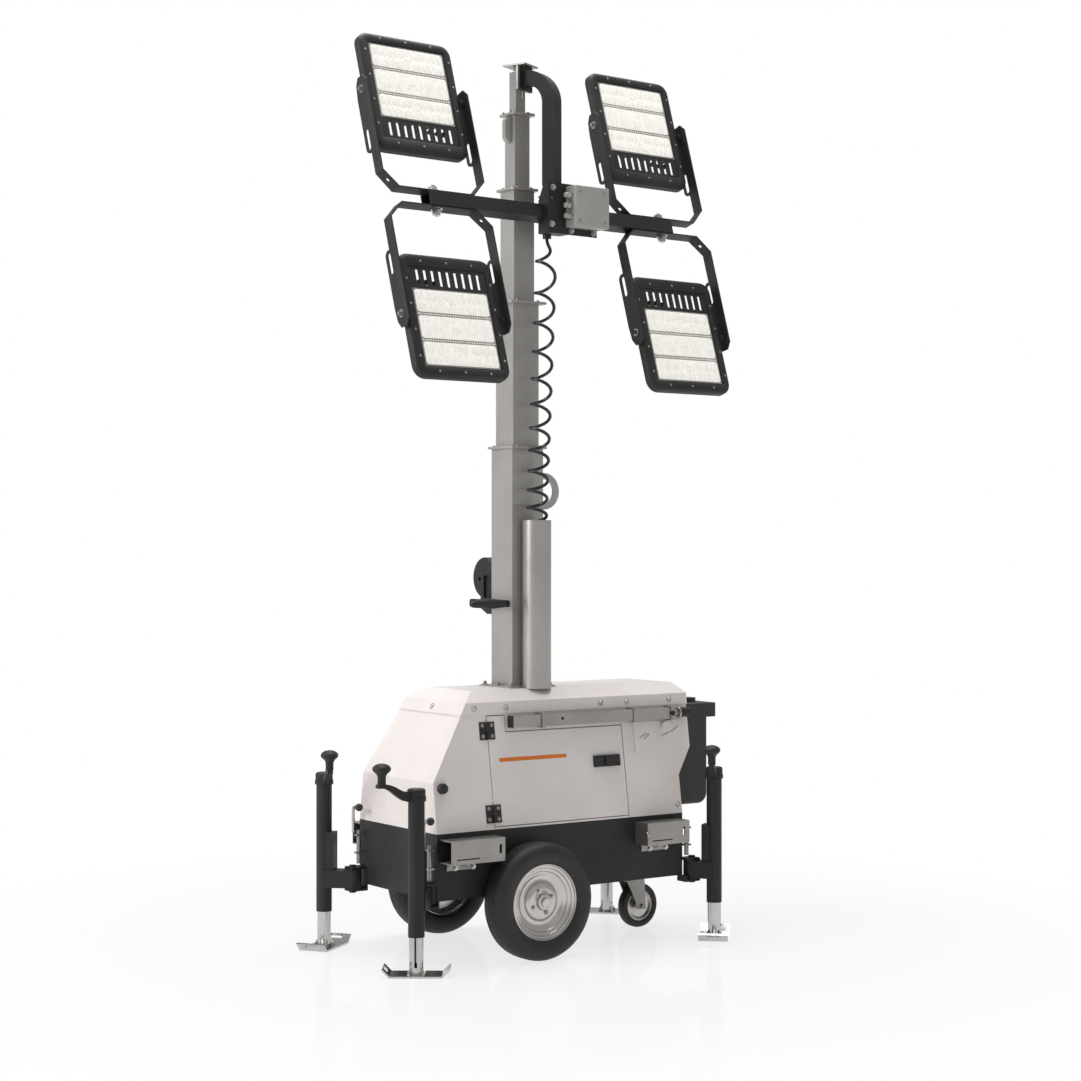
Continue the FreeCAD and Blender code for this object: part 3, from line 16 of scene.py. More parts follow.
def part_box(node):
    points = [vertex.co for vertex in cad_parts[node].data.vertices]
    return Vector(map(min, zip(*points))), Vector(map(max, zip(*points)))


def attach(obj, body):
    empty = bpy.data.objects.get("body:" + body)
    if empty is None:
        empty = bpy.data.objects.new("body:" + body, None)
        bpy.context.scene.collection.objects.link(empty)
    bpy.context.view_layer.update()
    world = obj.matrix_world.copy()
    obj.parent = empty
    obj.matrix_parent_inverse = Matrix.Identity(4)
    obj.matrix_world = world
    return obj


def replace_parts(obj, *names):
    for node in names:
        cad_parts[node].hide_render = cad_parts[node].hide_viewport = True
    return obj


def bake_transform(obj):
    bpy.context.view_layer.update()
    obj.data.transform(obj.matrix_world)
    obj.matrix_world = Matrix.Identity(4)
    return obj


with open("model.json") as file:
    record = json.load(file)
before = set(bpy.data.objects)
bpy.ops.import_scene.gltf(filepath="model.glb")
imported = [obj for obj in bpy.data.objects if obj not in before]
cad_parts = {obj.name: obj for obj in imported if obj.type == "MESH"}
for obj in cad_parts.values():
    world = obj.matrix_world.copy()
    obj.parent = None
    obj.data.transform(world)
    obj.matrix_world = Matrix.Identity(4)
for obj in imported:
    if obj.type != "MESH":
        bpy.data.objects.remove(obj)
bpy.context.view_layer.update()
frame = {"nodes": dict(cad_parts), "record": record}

nodes = frame["nodes"]
print("pieces in the frame:", len(nodes))

# %% [markdown]
# ## Where things are
# Sizes come from the frame where they can. The mast stands upright, so the middle of one
# section gives the axis that everything else is measured from. The canopy's long walls lean
# inwards, and the crossbar leans back and is turned a little, so each has its own axes.

# %% Adding an object, the mast's axis, the leaning wall and the head's axes
moved = Matrix.Translation


def add_object(name, data):
    made = bpy.data.objects.new(name, data)
    bpy.context.scene.collection.objects.link(made)
    return made


section_low, section_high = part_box("mast_section_3")
MAST = Vector(((section_low.x + section_high.x) / 2, (section_low.y + section_high.y) / 2, 0))
UP = Vector((0, 0, 1))
ALONG = Vector((1, 0, 0))
SIDES = (("near", -1), ("far", 1))
WALL_LEAN = 0.149
hood_low, hood_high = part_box("front_hood")
HEAD_TURN = radians(3.82)
HEAD_LEAN = radians(16.85)
head_axes = Matrix.Rotation(HEAD_TURN, 3, "Z") @ Matrix.Rotation(-HEAD_LEAN, 3, "X")


def from_mast(x, y, z):
    """A point measured from the mast's axis on the ground."""
    return Vector((MAST.x + x, MAST.y + y, z))


def middle(node):
    low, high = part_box(node)
    return (low + high) / 2


def wall_point(side, x, z, out=0.0):
    """A point on a long wall, side -1 near or 1 far, with the wall's outward normal."""
    half = hood_high.y - WALL_LEAN * (z - hood_low.z)
    normal = Vector((0, side, WALL_LEAN)).normalized()
    return from_mast(x, side * half, z) + normal * out, normal


print("mast axis", tuple(round(v, 4) for v in MAST))

# %% [markdown]
# ## The camera
# The picture was taken from the near left, level with the winch, with a long lens. The same
# place, direction and focal length put every edge where the picture has it.

# %% Camera
CAMERA_FROM_MAST = (-4.284, -6.302, 1.399)
CAMERA_TURN = radians(-34.82)
CAMERA_PITCH = radians(90.066)
LENS_MM = 72.32
lens_data = bpy.data.cameras.new("studio_camera")
lens_data.lens, lens_data.sensor_width = LENS_MM, 36
camera = add_object("studio_camera", lens_data)
camera.location = from_mast(*CAMERA_FROM_MAST)
camera.rotation_euler = (CAMERA_PITCH, 0, CAMERA_TURN)
bpy.context.scene.camera = camera

# %% [markdown]
# ## Shader sums written as sums
# A finish is a small tree of nodes. Wrapping a socket in a class lets a mask be written as an
# ordinary sum, and one method adds any other node from its type, settings and inputs.


# %% Adding and feeding nodes, and a socket that does sums
def feed(tree, socket, value):
    """Link a socket to another, or give it a colour or a plain value."""
    if isinstance(value, Term):
        value = value.socket
    if isinstance(value, bpy.types.NodeSocket):
        tree.links.new(value, socket)
    elif socket.type == "RGBA":
        socket.default_value = (*value, 1)
    else:
        socket.default_value = value


def add_node(tree, kind, settings=(), **inputs):
    """A new node from its type, its settings and what goes into its inputs."""
    made = tree.nodes.new(kind)
    for key, value in dict(settings).items():
        setattr(made, key, value)
    for key, value in inputs.items():
        feed(tree, made.inputs[key.replace("_", " ")], value)
    return made


class Term:
    """A socket of a tree, and the sums that it takes part in."""

    def __init__(self, tree, socket):
        self.tree, self.socket = tree, socket

    def sum_node(self, operation, other):
        node = add_node(self.tree, "ShaderNodeMath", {"operation": operation})
        feed(self.tree, node.inputs[0], self)
        feed(self.tree, node.inputs[1], other)
        return Term(self.tree, node.outputs[0])

    def __add__(self, other):
        return self.sum_node("ADD", other)

    def __mul__(self, other):
        return self.sum_node("MULTIPLY", other)

    __radd__ = __add__
    __rmul__ = __mul__


# %% A finish and its nodes
FINISHES = {}


class Finish:
    """A material with a Principled shader, and short ways to add nodes to its tree."""

    def __init__(self, name):
        self.material = FINISHES[name] = bpy.data.materials.new(name)
        self.material.use_nodes = True
        self.tree = self.material.node_tree
        self.shader = next(n for n in self.tree.nodes if n.type == "BSDF_PRINCIPLED")
        self.place = self.node("ShaderNodeTexCoord").outputs["Object"]

    def node(self, kind, settings=(), **sockets):
        return add_node(self.tree, kind, settings, **sockets)

    def paint(self, **sockets):
        for key, value in sockets.items():
            feed(self.tree, self.shader.inputs[key.replace("_", " ")], value)

    def stretched(self, scale):
        """Object coordinates squeezed by a scale along each axis."""
        return self.node("ShaderNodeMapping", Vector=self.place, Scale=scale).outputs[0]

    def noise(self, scale, detail, vector=None):
        made = self.node("ShaderNodeTexNoise", Vector=vector or self.place, Scale=scale,
                         Detail=detail)
        return Term(self.tree, made.outputs["Fac"])

    def between(self, value, low, high):
        """0 below low, 1 above high and a smooth step between them."""
        made = self.node("ShaderNodeMapRange", {"interpolation_type": "SMOOTHSTEP"}, Value=value,
                         From_Min=low, From_Max=high)
        return Term(self.tree, made.outputs["Result"])

    def mix(self, factor, first, second):
        """Between two colours as read off a screen."""
        made = self.node("ShaderNodeMix", {"data_type": "RGBA"})
        for slot, value in ((0, factor), (6, linear(*first)), (7, linear(*second))):
            feed(self.tree, made.inputs[slot], value)
        return made.outputs[2]

    def bump(self, height, distance):
        made = self.node("ShaderNodeBump", Height=height, Distance=distance, Strength=1.0)
        self.paint(Normal=made.outputs[0])


def linear(red, green, blue):
    """A colour as read off a screen, 0 to 255, as the shader wants it."""
    return tuple(((v / 255 + 0.055) / 1.055) ** 2.4 if v > 10 else v / 255 / 12.92
                 for v in (red, green, blue))


# %% [markdown]
# ## Paint, plating, rubber and plastic
# Powder coat is never quite flat: it has a fine orange peel a millimetre or two across and
# broad, faint changes of tone. Zinc plating is satin, with tones that drift a little.
# Each kind of finish is one small function, so that alike pieces stay alike.

# %% Powder coat
ORANGE_PEEL, TONE_PATCH, DUST_GRAIN = 420.0, 5.0, 90.0


def powder_coat(name, pale, dark, roughness, peel=0.00012, coat=0.0, shine=0.5):
    finish = Finish(name)
    tone = finish.noise(TONE_PATCH, 2.0)
    fine = finish.noise(ORANGE_PEEL, 2.0)
    dust = finish.between(finish.noise(DUST_GRAIN, 4.0), 0.52, 0.75)
    finish.paint(Base_Color=finish.mix(finish.between(tone, 0.35, 0.65), dark, pale),
                 Roughness=roughness + fine * 0.05 + dust * 0.05, Coat_Weight=coat,
                 Specular_IOR_Level=shine)
    finish.bump(fine, peel)


powder_coat("white_panel", (232, 225, 222), (228, 220, 216), 0.38, coat=0.1)
powder_coat("black_steel", (44, 44, 44), (36, 36, 36), 0.46, shine=0.3)
powder_coat("lamp_black", (48, 48, 47), (40, 40, 39), 0.5, peel=0.0002, shine=0.3)
powder_coat("box_grey", (176, 174, 170), (168, 166, 162), 0.42)


# %% Zinc plating and the mast's satin metal
def plated(name, pale, dark, metallic, low_rough, streak=None):
    finish = Finish(name)
    tone = finish.noise(9.0, 3.0)
    rough = low_rough + tone * 0.12
    if streak:
        lines = finish.noise(1.0, 3.0, finish.stretched(streak))
        tone = tone * 0.6 + lines * 0.4
        rough = rough + lines * 0.06
    finish.paint(Base_Color=finish.mix(finish.between(tone, 0.3, 0.72), dark, pale),
                 Metallic=metallic, Roughness=rough)
    finish.bump(finish.noise(260.0, 2.0), 0.00004)


plated("zinc", (160, 157, 153), (147, 144, 140), 0.7, 0.27)
plated("bright_zinc", (206, 204, 200), (184, 182, 178), 0.85, 0.2)
plated("mast_grey", (176, 173, 169), (167, 164, 160), 0.45, 0.34, streak=(160.0, 160.0, 3.0))
plated("store_steel", (178, 174, 170), (168, 164, 160), 0.82, 0.24, streak=(240.0, 240.0, 2.0))
plated("chrome_leg", (204, 203, 201), (184, 183, 181), 0.95, 0.07, streak=(60.0, 60.0, 900.0))
plated("wheel_silver", (206, 202, 198), (194, 190, 186), 0.85, 0.17)


# %% Rubber, moulded plastic and the cable's jacket
def rubber(name, pale, dark, grain, roughness, depth):
    finish = Finish(name)
    fine = finish.noise(grain, 3.0)
    dust = finish.between(finish.noise(26.0, 5.0), 0.45, 0.75)
    finish.paint(Base_Color=finish.mix(dust, dark, pale), Roughness=roughness + fine * 0.14)
    finish.bump(fine, depth)


rubber("tyre_rubber", (40, 40, 39), (31, 31, 31), 260.0, 0.5, 0.0002)
rubber("castor_rubber", (42, 42, 41), (34, 34, 34), 300.0, 0.5, 0.0002)
rubber("black_plastic", (38, 38, 38), (31, 31, 31), 700.0, 0.4, 0.00018)
rubber("cable_black", (38, 38, 38), (28, 28, 28), 500.0, 0.24, 0.0001)
rubber("engine_iron", (70, 70, 68), (50, 50, 48), 120.0, 0.5, 0.0004)


# %% The window of a floodlight, with painted glow, glints and reflections
def painted_glow_finish(name, bright, dim, strength):
    finish = Finish(name)
    # Painted light: the emission stands in for studio light on the window. The bright specks are
    # painted glints, and the stretched streaks are painted reflections off the reflector behind the
    # lenses.
    painted_glints = finish.between(finish.noise(130.0, 3.0), 0.38, 0.62)
    streak = finish.between(finish.noise(1.0, 3.0, finish.stretched((90.0, 90.0, 16.0))), 0.3, 0.7)
    painted_glow_colour = finish.mix(painted_glints * 0.55 + streak * 0.45, dim, bright)
    finish.paint(Base_Color=linear(210, 208, 202), Roughness=0.2, Emission_Color=painted_glow_colour,
                 Emission_Strength=strength, Coat_Weight=0.5)


# Both lens finishes glow with painted light.
painted_glow_finish("led_glass", (255, 253, 247), (214, 211, 203), 0.5)
painted_glow_finish("led_lens", (255, 253, 247), (206, 203, 194), 0.5)
powder_coat("led_frame", (176, 172, 166), (158, 154, 148), 0.3, coat=0.4)
rubber("gasket", (20, 20, 20), (14, 14, 14), 400.0, 0.6, 0.0001)
powder_coat("stripe_orange", (226, 122, 36), (220, 114, 30), 0.35)
print("finishes:", len(FINISHES))

# %% [markdown]
# ## Dressing the frame
# The record says which material slot each piece of the frame has. The pieces keep their own
# meshes, and only their material slots are filled.

# %% Give each piece of the frame its finish
for part in frame["record"]["subparts"]:
    mesh, slot = nodes[part["node"]].data, part["material_slot"]
    mesh.materials.clear()
    mesh.materials.append(FINISHES["led_frame" if slot == "led_glass" else slot])
nodes["cable_store"].data.materials[0] = FINISHES["store_steel"]

# %% [markdown]
# ## Making pieces
# Small pieces are made as meshes in place, with the object itself left at the origin. A helper
# links the mesh, shades it and hands it to the body that it rides on.


# %% A piece from a mesh
SHARP = radians(35)
SAME_POINT = 1e-6


def piece(name, mesh, finish, body):
    """An object in a named finish, on a body, with that finish in its material slot."""
    made = add_object(name, mesh)
    mesh.materials.clear()
    mesh.materials.append(FINISHES[finish])
    mesh.shade_smooth()
    mesh.set_sharp_from_angle(angle=SHARP)
    if body:
        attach(made, body)
    return made


def cleaned(shape, mesh):
    bmesh.ops.remove_doubles(shape, verts=shape.verts, dist=SAME_POINT)
    bmesh.ops.recalc_face_normals(shape, faces=shape.faces)
    shape.to_mesh(mesh)
    shape.free()
    return mesh


def shape_mesh(name, builder):
    """A mesh built by a function that fills a bmesh, with its normals outwards."""
    shape = bmesh.new()
    builder(shape)
    return cleaned(shape, bpy.data.meshes.new(name))


# %% Slabs with soft edges, turned rings and tubes
def slab(shape, size, matrix, edge):
    """A box of that size about the matrix's origin, its edges rounded."""
    made = bmesh.ops.create_cube(shape, size=1.0)["verts"]
    bmesh.ops.scale(shape, vec=size, verts=made)
    edges = list(dict.fromkeys(e for v in made for e in v.link_edges))
    if edge:
        rounded = bmesh.ops.bevel(shape, geom=edges, offset=edge, segments=2, affect="EDGES",
                                  profile=0.5)
        made = list({v for f in rounded["faces"] for v in f.verts}
                    | {v for v in made if v.is_valid})
    bmesh.ops.transform(shape, matrix=matrix, verts=made)


ROUND_STEPS = 32


def turned_ring(shape, profile, matrix, steps):
    """A closed ring or knob turned about the matrix's Z axis from (radius, height) corners."""
    rings = []
    for r, z in profile:
        if r < SAME_POINT:
            rings.append([shape.verts.new(matrix @ Vector((0, 0, z)))] * steps)
            continue
        rings.append([shape.verts.new(matrix @ Vector((r * cos(2 * pi * i / steps),
                                                       r * sin(2 * pi * i / steps), z)))
                      for i in range(steps)])
    for lower, upper in zip(rings, rings[1:]):
        for i in range(steps):
            j = (i + 1) % steps
            corners = []
            for vert in (lower[i], lower[j], upper[j], upper[i]):
                if vert not in corners:
                    corners.append(vert)
            if len(corners) > 2:
                shape.faces.new(corners)


def facing(place, normal):
    """A matrix at a place whose Z axis points along the normal."""
    return moved(place) @ Vector(normal).to_track_quat("Z", "Y").to_matrix().to_4x4()


def evaluated_mesh(holder):
    graph = bpy.context.evaluated_depsgraph_get()
    return bpy.data.meshes.new_from_object(holder.evaluated_get(graph), depsgraph=graph)


def add_spline(curve, kind, points):
    spline = curve.splines.new(kind)
    spline.points.add(len(points) - 1)
    for point, place in zip(spline.points, points):
        point.co = (*place, 1)
    return spline


def tube_mesh(name, points, radius, sides=4, order=3):
    """A round tube along a smooth line led by the control points, and that line's points."""
    curve = bpy.data.curves.new(name, "CURVE")
    curve.dimensions = "3D"
    curve.resolution_u = sides
    spline = add_spline(curve, "NURBS", points)
    spline.order_u = order
    spline.use_endpoint_u = True
    holder = add_object(name + "_line", curve)
    path = [v.co.copy() for v in evaluated_mesh(holder).vertices]
    curve.bevel_depth = radius
    curve.bevel_resolution = 3
    curve.use_fill_caps = True
    mesh = evaluated_mesh(holder)
    mesh.name = name
    bpy.data.objects.remove(holder)
    shape = bmesh.new()
    shape.from_mesh(mesh)
    return cleaned(shape, mesh), path


# %% Rings that are skinned, and flat plates with holes
def rounded_ring(x0, x1, y0, y1, corner, z, steps=6):
    """Points round a rectangle with round corners, at one height."""
    points = []
    for quarter, (cx, cy) in enumerate(((x1 - corner, y1 - corner), (x0 + corner, y1 - corner),
                                        (x0 + corner, y0 + corner), (x1 - corner, y0 + corner))):
        for i in range(steps + 1):
            angle = (quarter + i / steps) * pi / 2
            points.append(Vector((cx + corner * cos(angle), cy + corner * sin(angle), z)))
    return points


def skin(shape, rings, matrix, joined=False, capped=False):
    """Quads between neighbouring rings of as many points each, and a lid on the last ring."""
    rows = [[shape.verts.new(matrix @ point) for point in ring] for ring in rings]
    pairs = list(zip(rows, rows[1:])) + ([(rows[-1], rows[0])] if joined else [])
    for lower, upper in pairs:
        for i in range(len(lower)):
            j = (i + 1) % len(lower)
            shape.faces.new((lower[i], lower[j], upper[j], upper[i]))
    if capped:
        shape.faces.new(rows[-1])


def arc(cx, cy, radius, start, end, steps=10):
    """Points along an arc, its angles in degrees."""
    angles = [radians(start + (end - start) * i / steps) for i in range(steps + 1)]
    return [(cx + radius * cos(a), cy + radius * sin(a)) for a in angles]


def long_hole(cx, low, high, half):
    """The outline of an upright slot with round ends."""
    return arc(cx, high - half, half, 0, 180) + arc(cx, low + half, half, 180, 360)


def add_plate(shape, outlines, thickness, edge, matrix):
    """A flat plate, its first outline the rim and the others its holes, with bevelled edges."""
    curve = bpy.data.curves.new("plate_outline", "CURVE")
    curve.dimensions, curve.fill_mode = "2D", "BOTH"
    curve.extrude, curve.bevel_depth, curve.offset = thickness / 2 - edge, edge, -edge
    for outline in outlines:
        add_spline(curve, "POLY", [(x, y, 0) for x, y in outline]).use_cyclic_u = True
    holder = add_object("plate_outline", curve)
    mesh = evaluated_mesh(holder)
    bpy.data.objects.remove(holder)
    mesh.transform(matrix)
    shape.from_mesh(mesh)
    bpy.data.meshes.remove(mesh)


def made_piece(name, builder, finish, body):
    """A piece whose mesh a function fills."""
    return piece(name, shape_mesh(name, builder), finish, body)


def turned(name, profile, matrix, finish, body, steps=ROUND_STEPS):
    """A piece turned about the matrix's Z axis."""
    return made_piece(name, lambda shape: turned_ring(shape, profile, matrix, steps), finish,
                      body)


# %% [markdown]
# ## The curly cable
# A curly cable carries the power to the head and stretches as the mast goes up. It leaves a
# gland under the head's bracket, bulges out, and then winds down into the store tube, its
# turns closer together near the bottom. Seen from the side each turn has a sharp tip on one
# side and a wide bulge on the other, because the turns tilt. The helix is one formula.
# The mast's sections move apart, so the cable is cut into four stretches.

# %% The cable's line
CABLE_D = 0.0115
COIL_R = 0.0345
COIL_TOP = from_mast(0.036, -0.1245, 2.377)
STORE_MOUTH = Vector((middle("cable_store").x, 0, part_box("cable_store")[1].z))
MOUTH_BACK, COIL_IN = 0.050, 0.034
STORE_MOUTH.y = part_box("cable_store")[0].y + MOUTH_BACK
COIL_END_Z = STORE_MOUTH.z - COIL_IN
TURN_DROP = 0.113
TURN_CLOSER = 0.00275
TIP_TILT = 0.8
TURN_POINTS = 14
LEFT_TIP = atan2(0.571, -0.821)
GLAND = from_mast(0.038, -0.1265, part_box("head_bracket")[0].z)


def coil_point(turns):
    """The cable's middle after so many turns from its top."""
    drop = turns - TIP_TILT * sin(2 * pi * turns) / (2 * pi)
    z = COIL_TOP.z - TURN_DROP * drop + TURN_CLOSER * drop * drop
    share = (z - STORE_MOUTH.z) / (COIL_TOP.z - STORE_MOUTH.z)
    axis = STORE_MOUTH.lerp(COIL_TOP, share)
    angle = LEFT_TIP + 2 * pi * turns
    return Vector((axis.x + COIL_R * cos(angle), axis.y + COIL_R * sin(angle), z))


helix = []
while not helix or helix[-1].z > COIL_END_Z:
    helix.append(coil_point(len(helix) / TURN_POINTS))
LEAD_STEPS, LEAD_TURN, LEAD_DROP = 9, 0.66, 0.014
lead = [GLAND, GLAND - UP * (LEAD_DROP / 2)]
for step in range(1, LEAD_STEPS + 1):
    share = step / (LEAD_STEPS + 1)
    angle = LEFT_TIP - 2 * pi * LEAD_TURN * (1 - share)
    reach = COIL_R * share ** 0.8
    axis = GLAND.lerp(COIL_TOP, share)
    z = GLAND.z - LEAD_DROP - (GLAND.z - LEAD_DROP - COIL_TOP.z) * (1 - (1 - share) ** 1.3)
    lead.append(Vector((axis.x + reach * cos(angle), axis.y + reach * sin(angle), z)))
cable_line = lead + helix
print("cable turns", round(len(helix) / TURN_POINTS, 2), "points", len(cable_line))


# %% The cable in four stretches
def cable_stretches(line, pieces):
    """The line cut into stretches of about equal height that share their end points."""
    top, bottom = line[0].z, line[-1].z
    cuts = [top - (top - bottom) * i / pieces for i in range(1, pieces)]
    stretches, start = [], 0
    for cut in cuts:
        index = next(i for i, p in enumerate(line) if p.z < cut and i > start + 3)
        stretches.append((start, index))
        start = index
    stretches.append((start, len(line) - 1))
    return stretches


whole_mesh, whole_path = tube_mesh("cable_whole", cable_line, CABLE_D / 2)
bpy.data.meshes.remove(whole_mesh)
cable_bodies = ["head", "mast_4", "mast_3", "mast_2", "chassis"]
for number, (first, last) in enumerate(cable_stretches(whole_path, 4)):
    route = whole_path[first:last + 1]
    upper, lower = cable_bodies[number], cable_bodies[number + 1]
    mesh, path = tube_mesh("curly_cable_%d" % (number + 1), route, CABLE_D / 2, sides=1, order=2)
    made = piece(mesh.name, mesh, "cable_black", None)
    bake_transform(made)
    if number == 0:
        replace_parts(made, "curly_cable")

# %% [markdown]
# ## Fasteners by the hundred
# Every panel and bracket is bolted on. A bolt is a washer, a head and, on some, a nut with the
# stud's end. One tree of Geometry Nodes puts such a bolt on each point of a list and turns
# it to the direction stored there. Points of one body share a piece.


# %% A tree that puts a bolt on each point
def new_tree(name, inputs):
    tree = bpy.data.node_groups.new(name, "GeometryNodeTree")
    tree.interface.new_socket("Geometry", in_out="OUTPUT", socket_type="NodeSocketGeometry")
    tree.interface.new_socket("Geometry", in_out="INPUT", socket_type="NodeSocketGeometry")
    for label, kind in inputs:
        tree.interface.new_socket(label, in_out="INPUT", socket_type="NodeSocket" + kind)
    return tree, tree.nodes.new("NodeGroupInput"), tree.nodes.new("NodeGroupOutput")


def close_tree(tree, given, result, geometry):
    real = add_node(tree, "GeometryNodeRealizeInstances", Geometry=geometry)
    painted = add_node(tree, "GeometryNodeSetMaterial", Geometry=real.outputs[0],
                       Material=given.outputs["Finish"])
    tree.links.new(painted.outputs[0], result.inputs[0])
    return tree


def scaled_shape(tree, geometry, height, flat=1.0):
    """Geometry moved up by a height and squashed by a share along Z."""
    up = add_node(tree, "ShaderNodeCombineXYZ", Z=height)
    squeeze = add_node(tree, "ShaderNodeCombineXYZ", X=1.0, Y=1.0, Z=flat)
    return add_node(tree, "GeometryNodeTransform", Geometry=geometry, Translation=up.outputs[0],
                    Scale=squeeze.outputs[0]).outputs[0]


WASHER_SHARE, STUD_SHARE, STUD_RISE = 0.5, 0.55, 1.6


def bolt_tree(name, sides):
    """A washer and a head: domed where sides is 0, or with that many flats and a stud's end."""
    tree, given, result = new_tree(name, [("Head Radius", "Float"), ("Washer Radius", "Float"),
                                          ("Head Height", "Float"), ("Finish", "Material")])
    head_r, high = (Term(tree, given.outputs["Head " + name]) for name in ("Radius", "Height"))
    washer = add_node(tree, "GeometryNodeMeshCylinder", Vertices=20, Depth=high * WASHER_SHARE,
                      Radius=given.outputs["Washer Radius"])
    shapes = [washer.outputs["Mesh"]]
    if sides:
        head = add_node(tree, "GeometryNodeMeshCylinder", Vertices=sides, Radius=head_r, Depth=high)
        stud = add_node(tree, "GeometryNodeMeshCylinder", Vertices=12, Depth=high,
                        Radius=head_r * STUD_SHARE)
        shapes.append(scaled_shape(tree, head.outputs["Mesh"], high))
        shapes.append(scaled_shape(tree, stud.outputs["Mesh"], high * STUD_RISE))
    else:
        dome = add_node(tree, "GeometryNodeMeshUVSphere", Segments=18, Rings=10, Radius=head_r)
        shapes.append(scaled_shape(tree, dome.outputs["Mesh"], 0.0,
                                   high.sum_node("DIVIDE", head_r)))
    joined = tree.nodes.new("GeometryNodeJoinGeometry")
    for geometry in shapes:
        tree.links.new(geometry, joined.inputs[0])
    direction = add_node(tree, "GeometryNodeInputNamedAttribute", {"data_type": "FLOAT_VECTOR"},
                         Name="facing")
    turn = add_node(tree, "FunctionNodeAlignRotationToVector", {"axis": "Z"},
                    Vector=direction.outputs["Attribute"])
    placed = add_node(tree, "GeometryNodeInstanceOnPoints", Points=given.outputs["Geometry"],
                      Instance=joined.outputs[0], Rotation=turn.outputs[0])
    return close_tree(tree, given, result, placed.outputs[0])


dome_bolts = bolt_tree("domed_bolts", 0)
hex_bolts = bolt_tree("hex_bolts", 6)


# %% Run a tree on a mesh and keep the result as a plain mesh
def grown(name, base_mesh, tree, values):
    holder = add_object(name, base_mesh)
    modifier = holder.modifiers.new("grow", "NODES")
    modifier.node_group = tree
    for item in tree.interface.items_tree:
        if item.item_type == "SOCKET" and item.in_out == "INPUT" and item.name in values:
            modifier[item.identifier] = values[item.name]
    mesh = evaluated_mesh(holder)
    holder.modifiers.clear()
    bpy.data.objects.remove(holder)
    mesh.name = name
    return mesh


def point_cloud(name, places):
    """A mesh of loose points, each with the direction that its bolt faces."""
    mesh = bpy.data.meshes.new(name)
    mesh.from_pydata([tuple(place) for place, normal in places], [], [])
    facing_data = mesh.attributes.new("facing", "FLOAT_VECTOR", "POINT")
    facing_data.data.foreach_set("vector", [c for place, normal in places for c in normal])
    return mesh


# Each kind of bolt as its head's radius, its washer's radius and its head's height.
CANOPY_BOLT = (0.0080, 0.0105, 0.0062)
HINGE_SCREW = (0.0055, 0.0068, 0.0030)
COLLAR_BOLT = (0.0045, 0.0055, 0.0035)
LOW_COLLAR_BOLT = (0.0050, 0.0060, 0.0022)
FLANGE_BOLT = (0.0085, 0.0120, 0.0060)
FRAME_SCREW = (0.0034, 0.0042, 0.0020)
PIVOT_BOLT = (0.0095, 0.0135, 0.0060)
LOW_PIVOT_BOLT = (0.0095, 0.0135, 0.0024)
YOKE_NUT = (0.0168, 0.0205, 0.0112)
LID_SCREW = (0.0048, 0.0058, 0.0026)
BRACKET_BOLT = (0.0085, 0.0110, 0.0060)
WHEEL_NUT = (0.0072, 0.0090, 0.0050)
TAB_BOLT = (0.0072, 0.0092, 0.0048)
CHANNEL_PIN = (0.0125, 0.0145, 0.0060)


def fasteners(name, body, places, tree, size, finish="zinc"):
    head, washer, height = size
    mesh = grown(name, point_cloud(name + "_points", places), tree,
                 {"Head Radius": head, "Washer Radius": washer, "Head Height": height,
                  "Finish": FINISHES[finish]})
    print(name, "bolts:", len(places))
    return piece(name, mesh, finish, body)


# %% [markdown]
# ## Bolts on the canopy and mast
# The roof's skirt is held by round-headed bolts at uneven distances. Each hinge leaf has two
# screws, and hexagonal bolts hold the mast's flange and the collars of its sections.

# %% Canopy bolts
SKIRT_Z = 0.842
SKIRT_OUT = 0.003
SKIRT_BOLTS = (-0.308, -0.179, 0.219, 0.333, 0.521)
HINGE_X = -0.262
HINGE_LEVELS = (0.492, 0.767)
HINGE_BOLT_X, HINGE_BOLT_Z = 0.0185, 0.018
HINGE_PLATE = 0.003
PANEL_BOLT = (0.520, 0.472)
skirt = [wall_point(side, x, SKIRT_Z, SKIRT_OUT) for side in (-1, 1) for x in SKIRT_BOLTS]
NOSE_SLOPE, NOSE_IN = Vector((-0.858, 0, 0.513)), 0.012
roof_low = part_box("roof_cover")[0]
nose_bolt = (Vector((roof_low.x + NOSE_IN, MAST.y, SKIRT_Z)), NOSE_SLOPE)
panel = [wall_point(side, *PANEL_BOLT) for side in (-1, 1)]
fasteners("canopy_bolts", "chassis", skirt + [nose_bolt] + panel, dome_bolts, CANOPY_BOLT,
          "bright_zinc")
for name, side in SIDES:
    leaf = {"chassis": -HINGE_BOLT_X, "door_" + name: HINGE_BOLT_X}
    for body, shift in leaf.items():
        places = [wall_point(side, HINGE_X + shift, z + rise, HINGE_PLATE)
                  for z in HINGE_LEVELS for rise in (-HINGE_BOLT_Z, HINGE_BOLT_Z)]
        fasteners("hinge_screws_%s_%s" % (body.split("_")[0], name), body, places, dome_bolts,
                  HINGE_SCREW)

# %% Mast collar bolts, flange bolts
COLLAR_INSET = 0.014


def collar_places(low, high, z, inset=COLLAR_INSET):
    """Two bolts along each side of a square collar, near its corners."""
    x0, x1, y0, y1 = low.x + inset, high.x - inset, low.y + inset, high.y - inset
    places = []
    for share in (0.16, 0.84):
        x, y = x0 + (x1 - x0) * share, y0 + (y1 - y0) * share
        places += [(x, y0), (x, y1), (x0, y), (x1, y)]
    return [(Vector((x, y, z)), UP) for x, y in places]


